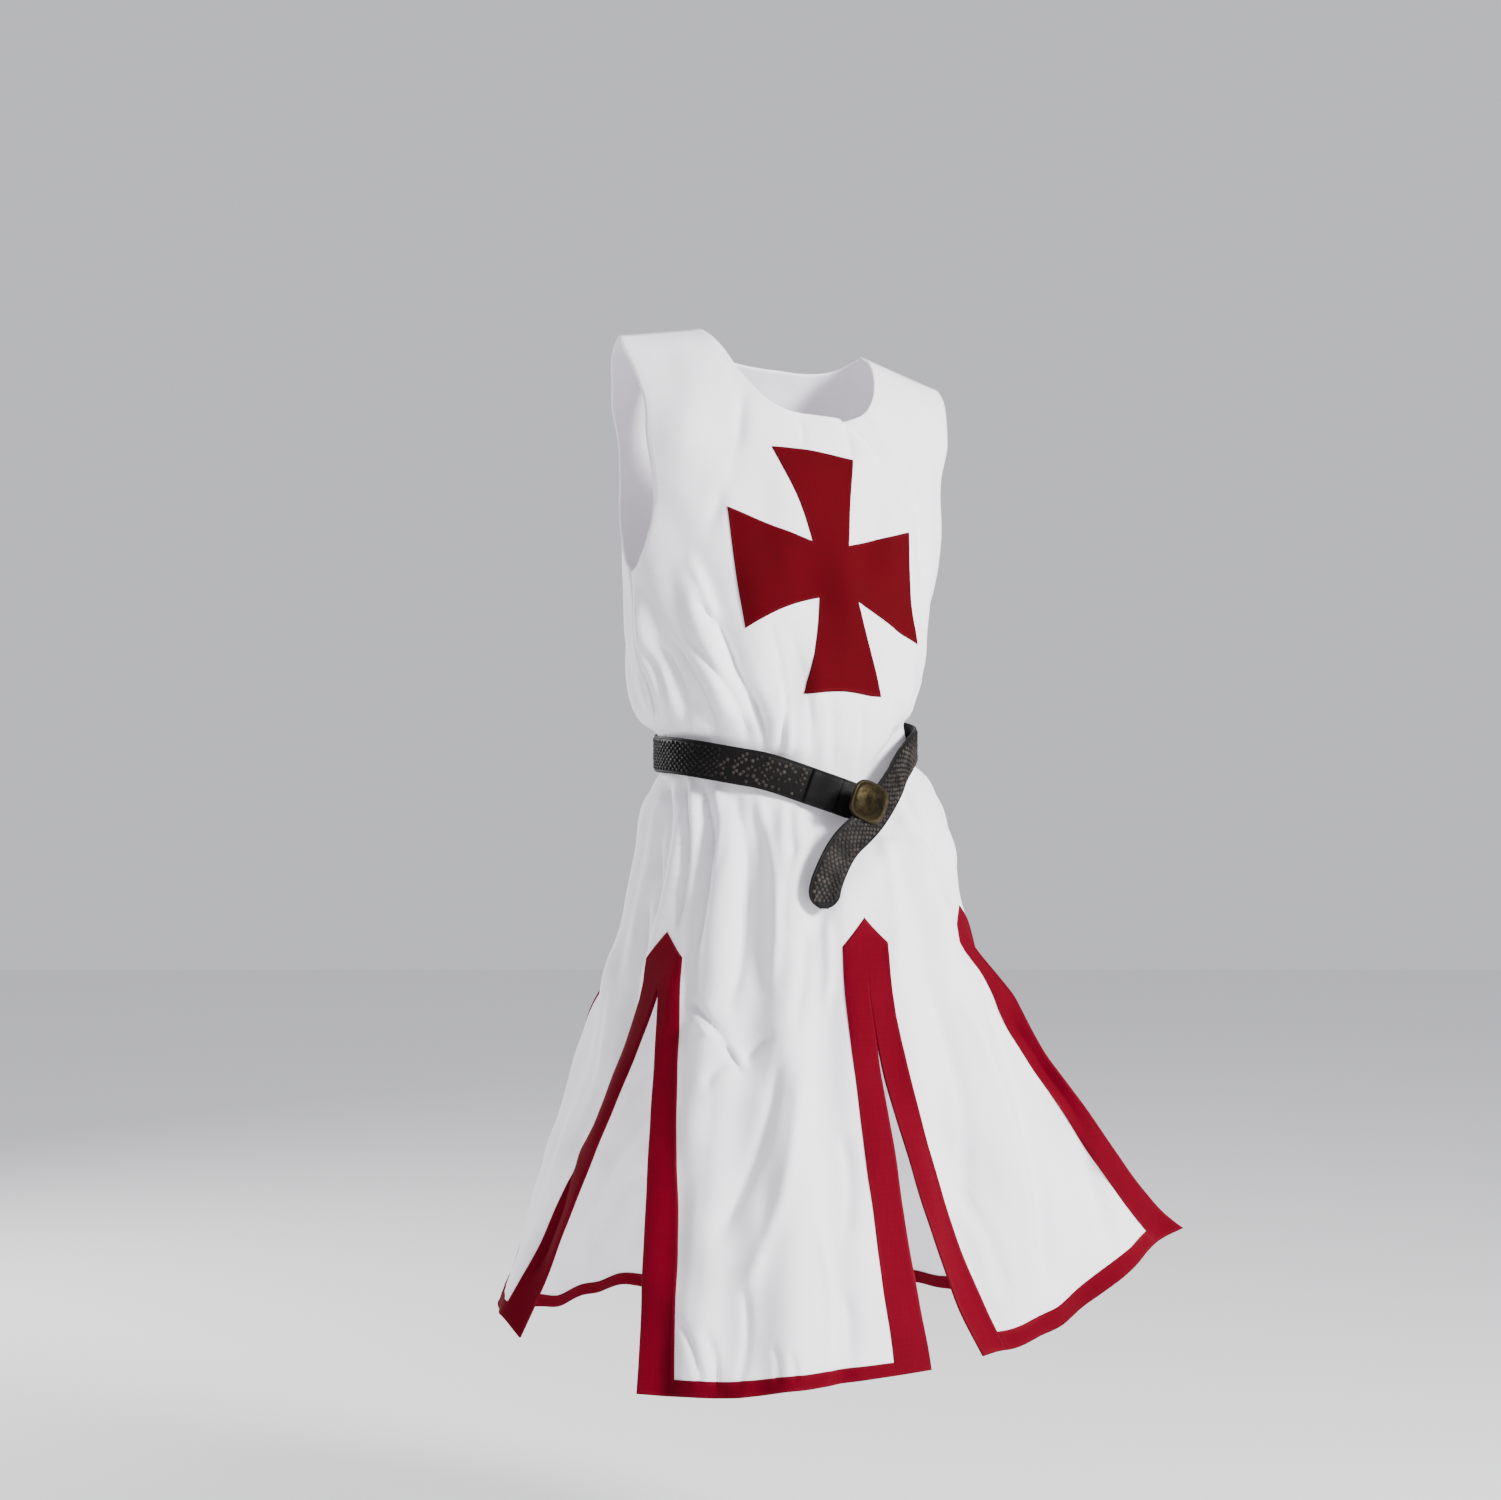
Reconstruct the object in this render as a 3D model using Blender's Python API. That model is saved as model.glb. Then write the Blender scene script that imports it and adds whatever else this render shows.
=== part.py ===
"""Knee-length sleeveless tabard of white cloth with a red chest cross, worn hollow over a general figure.

The cloth is cut as one front and one back. The front skirt has two slits and each side is slit too,
so the front hangs in three tongues over a plain back. Red facings with gabled tops edge the slits,
red bands edge the hem, and a leather belt gathers the waist and hangs through a bronze slide.

Frame: metres, +Z up, the front towards -Y, the wearer's left at +X. The origin lies between the
shoulder points, where the wearer carries the garment.
"""

import math
from functools import lru_cache

import bmesh
import bpy
import numpy as np
from mathutils import Matrix, Vector
from mathutils.bvhtree import BVHTree

# Cloth, leather and seams
CLOTH_WALL = 0.0018
TRIM_WALL = 0.0012
SEAM_GAP = 0.0003
LIE_GAP = 0.0004

# Cut of the garment, as distances down from the shoulder line
NECK_HALF = 0.095
NECK_DROP_FRONT = 0.089
NECK_DROP_BACK = 0.022
NECK_SQUARENESS = 4.0
NECK_BLEND = 0.15
YOKE_Z = -0.145
UNDERARM_Z = -0.270
APEX_Z = -0.625
GABLE_RISE = 0.027
GABLE_REACH = 0.060
HEM_Z = -1.080
BAND_TOP = 0.0235
BAND_HEM = 0.0355
SHOULDER_SLOPE = 0.24

# Belt: full width round the waist, narrower towards its hanging tip
BELT_WIDTH = 0.039
TAIL_WIDTH = 0.0345
TAIL_LENGTH = 0.130
BELT_THICK = 0.003
BELT_Z = -0.455
BELT_CENTRE = (-0.0175, 0.004)
BELT_STEP = 0.011
TIP_LENGTH = 0.018
TAB_THICK = 0.0018
TAB_ANGLES = (12.2, 27.0)

# Clasp plate: a domed metal plate over the crossing of the belt's two ends, with a stud behind it
PLATE_TURN = 34.0
PLATE_X = 0.068
PLATE_Z = -0.4967
PLATE_HALF = (0.0230, 0.0208)
PLATE_SQUARENESS = 3.2
PLATE_TILT = 22.0
PLATE_PROFILE = ((0.0, 0.0050), (0.34, 0.0047), (0.62, 0.0037), (0.80, 0.0027), (0.87, 0.0034), (0.96, 0.0034), (1.0, 0.0024))
STUD_RADIUS = 0.003
STUD_SIDES = 16

# Grid of the cloth: how many steps run between its main lines
CENTRE_STEPS = 8
SIDE_STEPS = 6
BACK_STEPS = 11
SHOULDER_STEPS = 6
YOKE_ROWS = 5
TONGUE_ROWS = 7
SLIT_COLUMN = CENTRE_STEPS + 2
FRONT_LAST = SLIT_COLUMN + SIDE_STEPS + 4
BACK_LAST = BACK_STEPS + 2

# Cross sections of the worn cloth at the general figure. front and back are depths from the centre,
# yaw turns the section to the wearer's left, shift slides the centre front along it, tilt lowers the
# wearer's left side per metre, follow says how far the level follows the slanting belt.
SECTION_COLUMNS = ("z", "half", "front", "back", "cx", "cy", "yaw", "shift", "tilt", "follow")
SECTIONS = (
    (0.000, 0.198, 0.000, 0.000, -0.020, 0.012, 22.0, 0.000, 0.105, 0.0),
    (-0.010, 0.202, 0.028, 0.026, -0.020, 0.012, 22.0, 0.000, 0.105, 0.0),
    (-0.030, 0.206, 0.053, 0.048, -0.020, 0.012, 22.0, 0.002, 0.105, 0.0),
    (-0.070, 0.207, 0.082, 0.076, -0.020, 0.011, 23.0, 0.002, 0.105, 0.0),
    (-0.130, 0.199, 0.104, 0.100, -0.021, 0.010, 24.0, -0.007, 0.103, 0.0),
    (-0.200, 0.186, 0.120, 0.110, -0.022, 0.007, 25.0, 0.000, 0.096, 0.0),
    (-0.280, 0.175, 0.127, 0.112, -0.024, 0.005, 25.0, 0.012, 0.084, 0.0),
    (-0.350, 0.171, 0.128, 0.112, -0.027, 0.004, 24.0, 0.026, 0.040, 0.0),
    (-0.395, 0.160, 0.124, 0.110, -0.0275, 0.004, 21.0, 0.031, 0.000, 0.4),
    (-0.420, 0.147, 0.115, 0.104, -0.0255, 0.004, 16.0, 0.029, 0.000, 0.8),
    (-0.434, 0.134, 0.105, 0.097, -0.0215, 0.004, 12.0, 0.026, 0.000, 1.0),
    (-0.455, 0.133, 0.103, 0.095, -0.0175, 0.004, 6.0, 0.023, 0.000, 1.0),
    (-0.476, 0.137, 0.106, 0.097, -0.0145, 0.004, 1.0, 0.020, 0.000, 1.0),
    (-0.500, 0.154, 0.116, 0.108, -0.0125, 0.004, -4.0, 0.018, -0.015, 0.8),
    (-0.550, 0.171, 0.133, 0.128, -0.009, 0.004, -10.0, 0.012, -0.050, 0.3),
    (-0.622, 0.187, 0.150, 0.150, -0.011, 0.002, -13.5, 0.000, -0.085, 0.0),
    (-0.700, 0.207, 0.168, 0.172, -0.010, 0.000, -13.0, 0.000, -0.060, 0.0),
    (-0.850, 0.256, 0.206, 0.216, -0.006, 0.000, -12.0, 0.000, -0.030, 0.0),
    (-1.080, 0.332, 0.258, 0.282, 0.000, 0.000, -11.5, 0.000, 0.000, 0.0),
)

# Half width of the cut along the section, as a share of the quarter section: the armhole above,
# the whole quarter below the underarm
ARMHOLE_COLUMNS = ("z", "share")
ARMHOLE = (
    (0.000, 0.955),
    (-0.030, 0.860),
    (-0.080, 0.780),
    (-0.140, 0.755),
    (-0.200, 0.790),
    (-0.235, 0.845),
    (-0.256, 0.905),
    (-0.266, 0.955),
    (-0.270, 1.000),
)

# Half width of the centre tongue along the section
SLIT_COLUMNS = ("z", "half")
SLIT_LINE = ((0.0, 0.095), (-0.280, 0.112), (-0.455, 0.098), (-0.622, 0.110), (-1.080, 0.147))

# Where the hem of each tongue hangs, from its first to its last edge. Share is along the hem.
HEM_COLUMNS = ("share", "x", "y", "z")
HEM_LINES = {
    "right": (
        (0.000, -0.332, 0.190, -1.056),
        (0.226, -0.331, 0.138, -1.054),
        (0.470, -0.330, 0.075, -1.052),
        (0.733, -0.328, 0.010, -1.051),
        (0.880, -0.324, -0.028, -1.050),
        (1.000, -0.303, -0.050, -1.070),
    ),
    "centre": (
        (0.000, -0.167, -0.235, -1.084),
        (0.220, -0.102, -0.262, -1.081),
        (0.360, -0.060, -0.272, -1.078),
        (0.540, -0.008, -0.272, -1.072),
        (0.730, 0.045, -0.257, -1.067),
        (1.000, 0.126, -0.205, -1.067),
    ),
    "left": (
        (0.000, 0.186, -0.150, -1.066),
        (0.118, 0.209, -0.122, -1.065),
        (0.266, 0.249, -0.105, -1.054),
        (0.444, 0.294, -0.080, -1.037),
        (0.668, 0.345, -0.050, -1.003),
        (0.879, 0.385, -0.006, -0.978),
        (1.000, 0.416, 0.006, -0.963),
    ),
    "back": (
        (0.000, 0.320, 0.115, -1.066),
        (0.140, 0.264, 0.203, -1.074),
        (0.328, 0.140, 0.268, -1.082),
        (0.523, 0.000, 0.290, -1.084),
        (0.660, -0.100, 0.288, -1.085),
        (0.770, -0.180, 0.280, -1.086),
        (0.859, -0.242, 0.262, -1.087),
        (0.935, -0.290, 0.238, -1.094),
        (1.000, -0.317, 0.220, -1.092),
    ),
}

# How each tongue swings out below its slits: the level where its first and last edge come free,
# how late the swing comes, how far its hem band reaches up at each edge, and how far its last edge
# curls round towards the front between the slit and the hem, in degrees
SWING_COLUMNS = (
    "strip",
    "first_start",
    "last_start",
    "first_power",
    "last_power",
    "first_band",
    "last_band",
    "curl",
)
FREE_SIDE = APEX_Z - GABLE_RISE
FREE_SLIT = APEX_Z - GABLE_REACH
SWINGS = (
    ("right", FREE_SIDE, FREE_SLIT, 1.50, 1.10, 0.017, 0.017, 0.0),
    ("centre", FREE_SLIT, FREE_SLIT, 1.00, 1.20, 0.0155, 0.0125, 0.0),
    ("left", FREE_SLIT, FREE_SIDE, 1.60, 1.80, 0.020, 0.022, -48.0),
    ("back", FREE_SIDE, FREE_SIDE, 1.20, 1.20, 0.015, 0.015, 0.0),
)
CURL_START = 0.50
CURL_RISE = 0.070
CURL_FALL = 0.240

# Height of the belt's middle round the waist, by the angle from the front towards the wearer's left
BELT_ROUTE_COLUMNS = ("angle", "z")
BELT_ROUTE = (
    (-180.0, -0.425),
    (-135.0, -0.434),
    (-90.0, -0.446),
    (-51.0, -0.450),
    (-21.0, -0.461),
    (13.0, -0.481),
    (30.0, -0.493),
    (43.0, -0.498),
    (54.0, -0.482),
    (62.0, -0.464),
    (75.0, -0.447),
    (100.0, -0.435),
    (135.0, -0.427),
    (180.0, -0.425),
)

# Path of the strap's middle from its fixed end under the plate, round the back and down to the tip
STRAP_COLUMNS = ("angle", "z", "lift")
STRAP_PATH = (
    (41.0, -0.5027, 0.0),
    (29.6, -0.4933, 0.0),
    (21.0, -0.4864, 0.0),
    (13.2, -0.4807, 0.0),
    (-13.1, -0.4639, 0.0),
    (-21.2, -0.4608, 0.0),
    (-51.0, -0.4504, 0.0),
    (-90.0, -0.4457, 0.0),
    (-135.0, -0.4340, 0.0),
    (-180.0, -0.4250, 0.0),
    (-225.0, -0.4270, 0.0),
    (-260.0, -0.4345, 0.0),
    (-285.0, -0.4440, 0.0),
    (-298.2, -0.4600, 0.0005),
    (-307.0, -0.4800, 0.0030),
    (-320.5, -0.5080, 0.0038),
    (-329.0, -0.5240, 0.0036),
    (-336.5, -0.5400, 0.0015),
    (-342.5, -0.5635, 0.0008),
    (-346.0, -0.5873, 0.0008),
    (-346.5, -0.6060, 0.0008),
)

# Folds, each a soft ridge (plus) or trough (minus) that runs from its upper to its lower end.
# Angles run from the front towards the wearer's left, levels are those of the sections.
FOLD_COLUMNS = ("angle_upper", "z_upper", "angle_lower", "z_lower", "half_width", "height")
FOLDS = (
    (-80.0, -0.270, -70.0, -0.425, 0.024, -0.007),
    (-66.0, -0.240, -49.0, -0.425, 0.022, 0.005),
    (-60.0, -0.270, -34.0, -0.425, 0.022, -0.008),
    (-46.0, -0.220, -22.0, -0.425, 0.022, 0.005),
    (-38.0, -0.240, -12.0, -0.425, 0.022, -0.007),
    (-12.0, -0.320, -4.0, -0.425, 0.020, 0.004),
    (2.0, -0.300, 9.0, -0.425, 0.020, -0.006),
    (20.0, -0.360, 24.0, -0.425, 0.022, -0.004),
    (60.0, -0.080, 45.0, -0.260, 0.026, -0.005),
    (75.0, -0.250, 70.0, -0.425, 0.030, 0.006),
    (100.0, -0.220, 96.0, -0.425, 0.032, -0.008),
    (126.0, -0.180, 122.0, -0.425, 0.032, 0.008),
    (152.0, -0.160, 149.0, -0.425, 0.032, -0.008),
    (178.0, -0.140, 176.0, -0.425, 0.032, 0.009),
    (-156.0, -0.170, -157.0, -0.425, 0.032, -0.008),
    (-130.0, -0.190, -131.0, -0.425, 0.032, 0.008),
    (-104.0, -0.230, -102.0, -0.425, 0.030, -0.007),
    (-84.0, -0.486, -80.0, -0.800, 0.022, 0.006),
    (-68.0, -0.486, -66.0, -0.720, 0.020, -0.007),
    (-54.0, -0.486, -57.0, -0.600, 0.018, 0.005),
    (-38.0, -0.486, -37.0, -0.780, 0.020, -0.007),
    (-27.0, -0.486, -27.0, -0.900, 0.022, 0.005),
    (-12.0, -0.486, -14.0, -1.080, 0.030, -0.008),
    (2.0, -0.486, 0.0, -1.080, 0.030, 0.007),
    (14.0, -0.540, 11.0, -1.080, 0.028, -0.007),
    (-30.0, -0.820, -27.0, -1.080, 0.026, -0.007),
    (44.0, -0.520, 49.0, -1.080, 0.034, -0.007),
    (58.0, -0.520, 62.0, -1.080, 0.036, 0.008),
    (70.0, -0.520, 76.0, -1.080, 0.036, -0.006),
    (-70.0, -0.720, -80.0, -1.080, 0.036, -0.006),
    (-94.0, -0.640, -104.0, -1.080, 0.040, 0.007),
    (112.0, -0.486, 118.0, -1.080, 0.042, 0.010),
    (130.0, -0.486, 134.0, -1.080, 0.042, -0.012),
    (148.0, -0.486, 150.0, -1.080, 0.042, 0.013),
    (166.0, -0.486, 166.0, -1.080, 0.042, -0.012),
    (-176.0, -0.486, -178.0, -1.080, 0.042, 0.013),
    (-158.0, -0.486, -162.0, -1.080, 0.042, -0.012),
    (-140.0, -0.486, -146.0, -1.080, 0.042, 0.011),
    (-122.0, -0.486, -131.0, -1.080, 0.040, -0.008),
)
FOLD_FADE = 0.095
FOLD_START = 0.040
FOLD_STOP = 0.034

# Chest cross with flared arms, in the cloth's own widths and levels
CROSS_Z = -0.256
CROSS_S = -0.0035
CROSS_HALF_WIDTH = 0.1075
CROSS_HALF_HEIGHT = 0.124
CROSS_ARM_UPPER = 0.0555
CROSS_ARM_LOWER = 0.0665
CROSS_POST_END = 0.0475
CROSS_ARM_ROOT = 0.029
CROSS_POST_ROOT = 0.021


def table(rows, columns, name):
    """The named column of a table, from its lowest first-column value to its highest."""
    order = np.argsort([row[0] for row in rows])
    return np.array([rows[i][columns.index(name)] for i in order], float)


def smooth(x, xs, ys):
    """Value at x of a smooth curve through the points xs, ys that never swings past them."""
    x = np.clip(np.asarray(x, float), xs[0], xs[-1])
    h = np.diff(xs)
    d = np.diff(ys) / h
    slope = np.concatenate([[d[0]], (d[:-1] + d[1:]) / 2, [d[-1]]])
    flat = np.concatenate([[False], d[:-1] * d[1:] <= 0, [False]])
    slope[flat] = 0.0
    low = np.concatenate([[np.inf], np.minimum(np.abs(d[:-1]), np.abs(d[1:])) * 3, [np.inf]])
    slope = np.clip(slope, -low, low)
    i = np.clip(np.searchsorted(xs, x, side="right") - 1, 0, len(h) - 1)
    t = (x - xs[i]) / h[i]
    rise = ys[i + 1] - ys[i]
    return (
        ys[i]
        + rise * (3 * t**2 - 2 * t**3)
        + h[i] * slope[i] * (t**3 - 2 * t**2 + t)
        + h[i] * slope[i + 1] * (t**3 - t**2)
    )


def ease(t):
    """Smooth step from 0 to 1."""
    t = np.clip(t, 0.0, 1.0)
    return t * t * (3 - 2 * t)


def section(name, z):
    """A named size of the cross section at level z."""
    return smooth(z, table(SECTIONS, SECTION_COLUMNS, "z"), table(SECTIONS, SECTION_COLUMNS, name))


def belt_height(angle):
    """Height of the belt's middle at an angle round the waist, in degrees."""
    angles = table(BELT_ROUTE, BELT_ROUTE_COLUMNS, "angle")
    return smooth(angle, angles, table(BELT_ROUTE, BELT_ROUTE_COLUMNS, "z"))


RING_STEPS = 180


@lru_cache(maxsize=4096)
def ring_lengths(z):
    """Angles round the section at level z and the length along it from the centre front to each."""
    angle = np.linspace(-math.pi, math.pi, 2 * RING_STEPS + 1)
    depth = np.where(np.cos(angle) >= 0, section("front", z), section("back", z)) + 1e-5
    half = section("half", z)
    radius = 1.0 / np.hypot(np.sin(angle) / half, np.cos(angle) / depth)
    # The angle is stretched so that a flat section still has evenly spread points
    across, along = radius * np.sin(angle), radius * np.cos(angle)
    step = np.hypot(np.diff(across), np.diff(along))
    length = np.concatenate([[0.0], np.cumsum(step)])
    return across, along, length - length[RING_STEPS]


def quarter(z, side=1):
    """Length along the section from the centre front to the side seam."""
    length = ring_lengths(z)[2]
    return abs(length[RING_STEPS + side * RING_STEPS // 2])


def whole(z):
    """Length of the whole section."""
    length = ring_lengths(z)[2]
    return length[-1] - length[0]


def place(s, z):
    """Point of the worn cloth, without its folds, at length s along the section of level z."""
    across, along, length = ring_lengths(z)
    around = length[-1] - length[0]
    at = s + section("shift", z)
    at = (at - length[0]) % around + length[0]
    u = np.interp(at, length, across)
    v = np.interp(at, length, along)
    yaw = math.radians(section("yaw", z))
    x = section("cx", z) + u * math.cos(yaw) + v * math.sin(yaw)
    y = section("cy", z) + u * math.sin(yaw) - v * math.cos(yaw)
    slope = SHOULDER_SLOPE * (1 - ease(-z / 0.24))
    level = z - slope * max(0.0, abs(u) - NECK_HALF) - section("tilt", z) * u
    angle = math.degrees(math.atan2(x - BELT_CENTRE[0], -(y - BELT_CENTRE[1])))
    level += section("follow", z) * (belt_height(angle) - BELT_Z)
    return np.array([x, y, level])


def half_cut(z):
    """Half width of the front along the section: armhole above the underarm, side seam below."""
    zs = table(ARMHOLE, ARMHOLE_COLUMNS, "z")
    share = 1.0 if z <= UNDERARM_Z else smooth(z, zs, table(ARMHOLE, ARMHOLE_COLUMNS, "share"))
    return quarter(z) * float(share)


def slit_line(z):
    """Distance of the front slits from the centre front."""
    return float(smooth(z, table(SLIT_LINE, SLIT_COLUMNS, "z"), table(SLIT_LINE, SLIT_COLUMNS, "half")))


def fold_height(angle, radius, z):
    """Sum of the folds' heights at an angle in degrees, a radius from the axis and a level."""
    total = 0.0
    for angle_upper, z_upper, angle_lower, z_lower, half_width, height in FOLDS:
        if not z_lower <= z < z_upper:
            continue
        run = (z_upper - z) / (z_upper - z_lower)
        turn = (angle - angle_upper - (angle_lower - angle_upper) * run + 180) % 360 - 180
        off = math.radians(turn) * radius / half_width
        if abs(off) >= 1:
            continue
        below_belt = z_upper < BELT_Z and z_upper > APEX_Z
        rise = ease((z_upper - z) / (FOLD_START if below_belt else FOLD_FADE))
        fall = 1.0
        if z_lower > HEM_Z:
            fall = ease((z - z_lower) / (FOLD_STOP if z_lower > BELT_Z else FOLD_FADE))
        total += height * math.cos(off * math.pi / 2) ** 2 * rise * fall
    return total


def row_levels():
    """Levels of the cloth's rows below the yoke, from the yoke to the last row above the hem."""
    chest = np.linspace(YOKE_Z, -0.235, 4)
    underarm = [-0.256, -0.266, UNDERARM_Z]
    body = np.linspace(UNDERARM_Z, -0.410, 6)[1:]
    waist = [-0.424, -0.434, BELT_Z, -0.476, -0.490]
    hip = np.linspace(-0.490, APEX_Z, 5)[1:]
    gable = [APEX_Z - GABLE_RISE / 2, APEX_Z - GABLE_RISE]
    reach = [APEX_Z - (GABLE_RISE + GABLE_REACH) / 2, APEX_Z - GABLE_REACH]
    return np.array([*chest, *underarm, *body, *waist, *hip, *gable, *reach])


def tongue_levels(band):
    """Levels of a column's rows on its tongue, the last but one at the top of the hem band."""
    return np.array([*np.linspace(APEX_Z - GABLE_REACH, HEM_Z + band, TONGUE_ROWS + 1)[1:], HEM_Z])


def band_width(z):
    """Width of the facings at level z, wider towards the hem."""
    return BAND_TOP + (BAND_HEM - BAND_TOP) * min(1.0, max(0.0, (APEX_Z - z) / (APEX_Z - HEM_Z)))


def neckline(drop, s):
    """Level of the neckline or shoulder line at distances from the centre."""
    return -drop * np.clip(1 - np.abs(s / NECK_HALF) ** NECK_SQUARENESS, 0, 1)


def edge_columns(drop, side, count):
    """Distances of the columns along the top edge: evenly round the neck, then along the shoulder."""
    s = np.linspace(0, NECK_HALF, 241)
    run = np.concatenate([[0], np.cumsum(np.hypot(np.diff(s), np.diff(neckline(drop, s))))])
    neck = np.interp(np.linspace(0, run[-1], count - SHOULDER_STEPS + 1), run, s)
    return np.concatenate([neck, np.linspace(NECK_HALF, side, SHOULDER_STEPS + 1)[1:]])


def front_positions(z):
    """Distances of the front's columns from the centre front, out to one side seam, at level z."""
    slit, side, band = slit_line(z), half_cut(z), band_width(z)
    centre = [*np.linspace(0, slit - band, CENTRE_STEPS + 1), slit - band / 2, slit]
    middle = np.linspace(slit + band, side - band, SIDE_STEPS + 1)
    return np.array([*centre, slit + band / 2, *middle, side - band / 2, side])


def back_positions(z):
    """Distances of the back's columns from the centre back, out to one side seam, at level z."""
    side = half_cut(z) if z > UNDERARM_Z else whole(z) / 2 - quarter(z)
    band = band_width(z)
    return np.array([*np.linspace(0, side - band, BACK_STEPS + 1), side - band / 2, side])


class Strip:
    """A piece of the cloth's grid: its points, their lengths along the section and their levels."""

    def __init__(self, name, positions, neck_drop, columns, from_back):
        self.swing = {row[0]: dict(zip(SWING_COLUMNS, row)) for row in SWINGS}[name]
        self.hem_line = HEM_LINES[name]
        low = positions(0.0)
        edge = edge_columns(neck_drop, low[-1], len(low) - 1)[np.abs(columns)]
        top = neckline(neck_drop, edge)
        yoke = [top + (YOKE_Z - top) * ease_in(k / YOKE_ROWS) for k in range(YOKE_ROWS)]
        rows = [np.full(len(columns), z) for z in row_levels()]
        bands = np.linspace(self.swing["first_band"], self.swing["last_band"], len(columns))
        tongue = np.array([tongue_levels(band) for band in bands]).T
        self.z = np.array([*yoke, *rows, *tongue])
        self.s = np.zeros_like(self.z)
        base = np.zeros((*self.z.shape, 3))
        for i, row in enumerate(self.z):
            for j, z in enumerate(row):
                last = abs(columns[j]) == len(low) - 1
                blend = 1.0 if last else ease((top[j] - z) / NECK_BLEND)
                s = edge[j] + (positions(z)[abs(columns[j])] - edge[j]) * blend
                s *= np.sign(columns[j])
                self.s[i, j] = s
                base[i, j] = place(whole(z) / 2 + s if from_back else s, z)
        self.base = base

    def hang(self):
        """Swings the tongue below the slits to the line its hem hangs on."""
        swing, line = self.swing, self.hem_line
        share = (self.s - self.s[:, :1]) / (self.s[:, -1:] - self.s[:, :1])
        start = swing["first_start"] + (swing["last_start"] - swing["first_start"]) * share
        power = swing["first_power"] + (swing["last_power"] - swing["first_power"]) * share
        reach = np.clip((start - self.z) / (start - HEM_Z), 0, 1) ** power
        along = table(line, HEM_COLUMNS, "share")
        target = [smooth(share[-1], along, table(line, HEM_COLUMNS, axis)) for axis in "xyz"]
        move = np.stack(target, axis=1) - self.base[-1]
        self.base = self.base + reach[..., None] * move
        self.curl(share)

    def curl(self, share):
        """Turns the strip's last part round towards the front, keeping its lengths."""
        steps = np.diff(self.base, axis=1)
        middle = (share[:, 1:] + share[:, :-1]) / 2
        level = (self.z[:, 1:] + self.z[:, :-1]) / 2
        amount = ease((FREE_SIDE - level) / CURL_RISE) * ease((level - HEM_Z) / CURL_FALL)
        turn = math.radians(self.swing["curl"]) * amount * ease((middle - CURL_START) / (1 - CURL_START))
        x = steps[..., 0] * np.cos(turn) - steps[..., 1] * np.sin(turn)
        y = steps[..., 0] * np.sin(turn) + steps[..., 1] * np.cos(turn)
        turned = np.stack([x, y, steps[..., 2]], axis=2)
        self.base[:, 1:] = self.base[:, :1] + np.cumsum(turned, axis=1)

    def fold(self):
        """Raises the folds along the cloth's outward direction."""
        normal = grid_normals(self.base)
        self.points = self.base.copy()
        for i, row in enumerate(self.base):
            for j, point in enumerate(row):
                x, y = point[0] - BELT_CENTRE[0], BELT_CENTRE[1] - point[1]
                angle = math.degrees(math.atan2(x, y))
                height = fold_height(angle, math.hypot(x, y), self.z[i, j])
                self.points[i, j] += normal[i, j] * height


def ease_in(t):
    """Share of the way down the yoke, with closer rows along the neck and shoulder."""
    return t**1.25


def grid_normals(points):
    """Outward unit normals of a grid whose rows run down and whose columns run to the wearer's left."""
    down = np.gradient(points, axis=0)
    left = np.gradient(points, axis=1)
    normal = np.cross(down, left)
    return normal / np.linalg.norm(normal, axis=2, keepdims=True)


def build_strips():
    """The three strips of the front between side seams and slits, and the back."""
    front = {
        "right": np.arange(-FRONT_LAST, -SLIT_COLUMN + 1),
        "centre": np.arange(-SLIT_COLUMN, SLIT_COLUMN + 1),
        "left": np.arange(SLIT_COLUMN, FRONT_LAST + 1),
    }
    strips = {
        name: Strip(name, front_positions, NECK_DROP_FRONT, columns, False) for name, columns in front.items()
    }
    around = np.arange(-BACK_LAST, BACK_LAST + 1)
    strips["back"] = Strip("back", back_positions, NECK_DROP_BACK, around, True)
    for strip in strips.values():
        strip.hang()
        strip.fold()
    return strips


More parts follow.
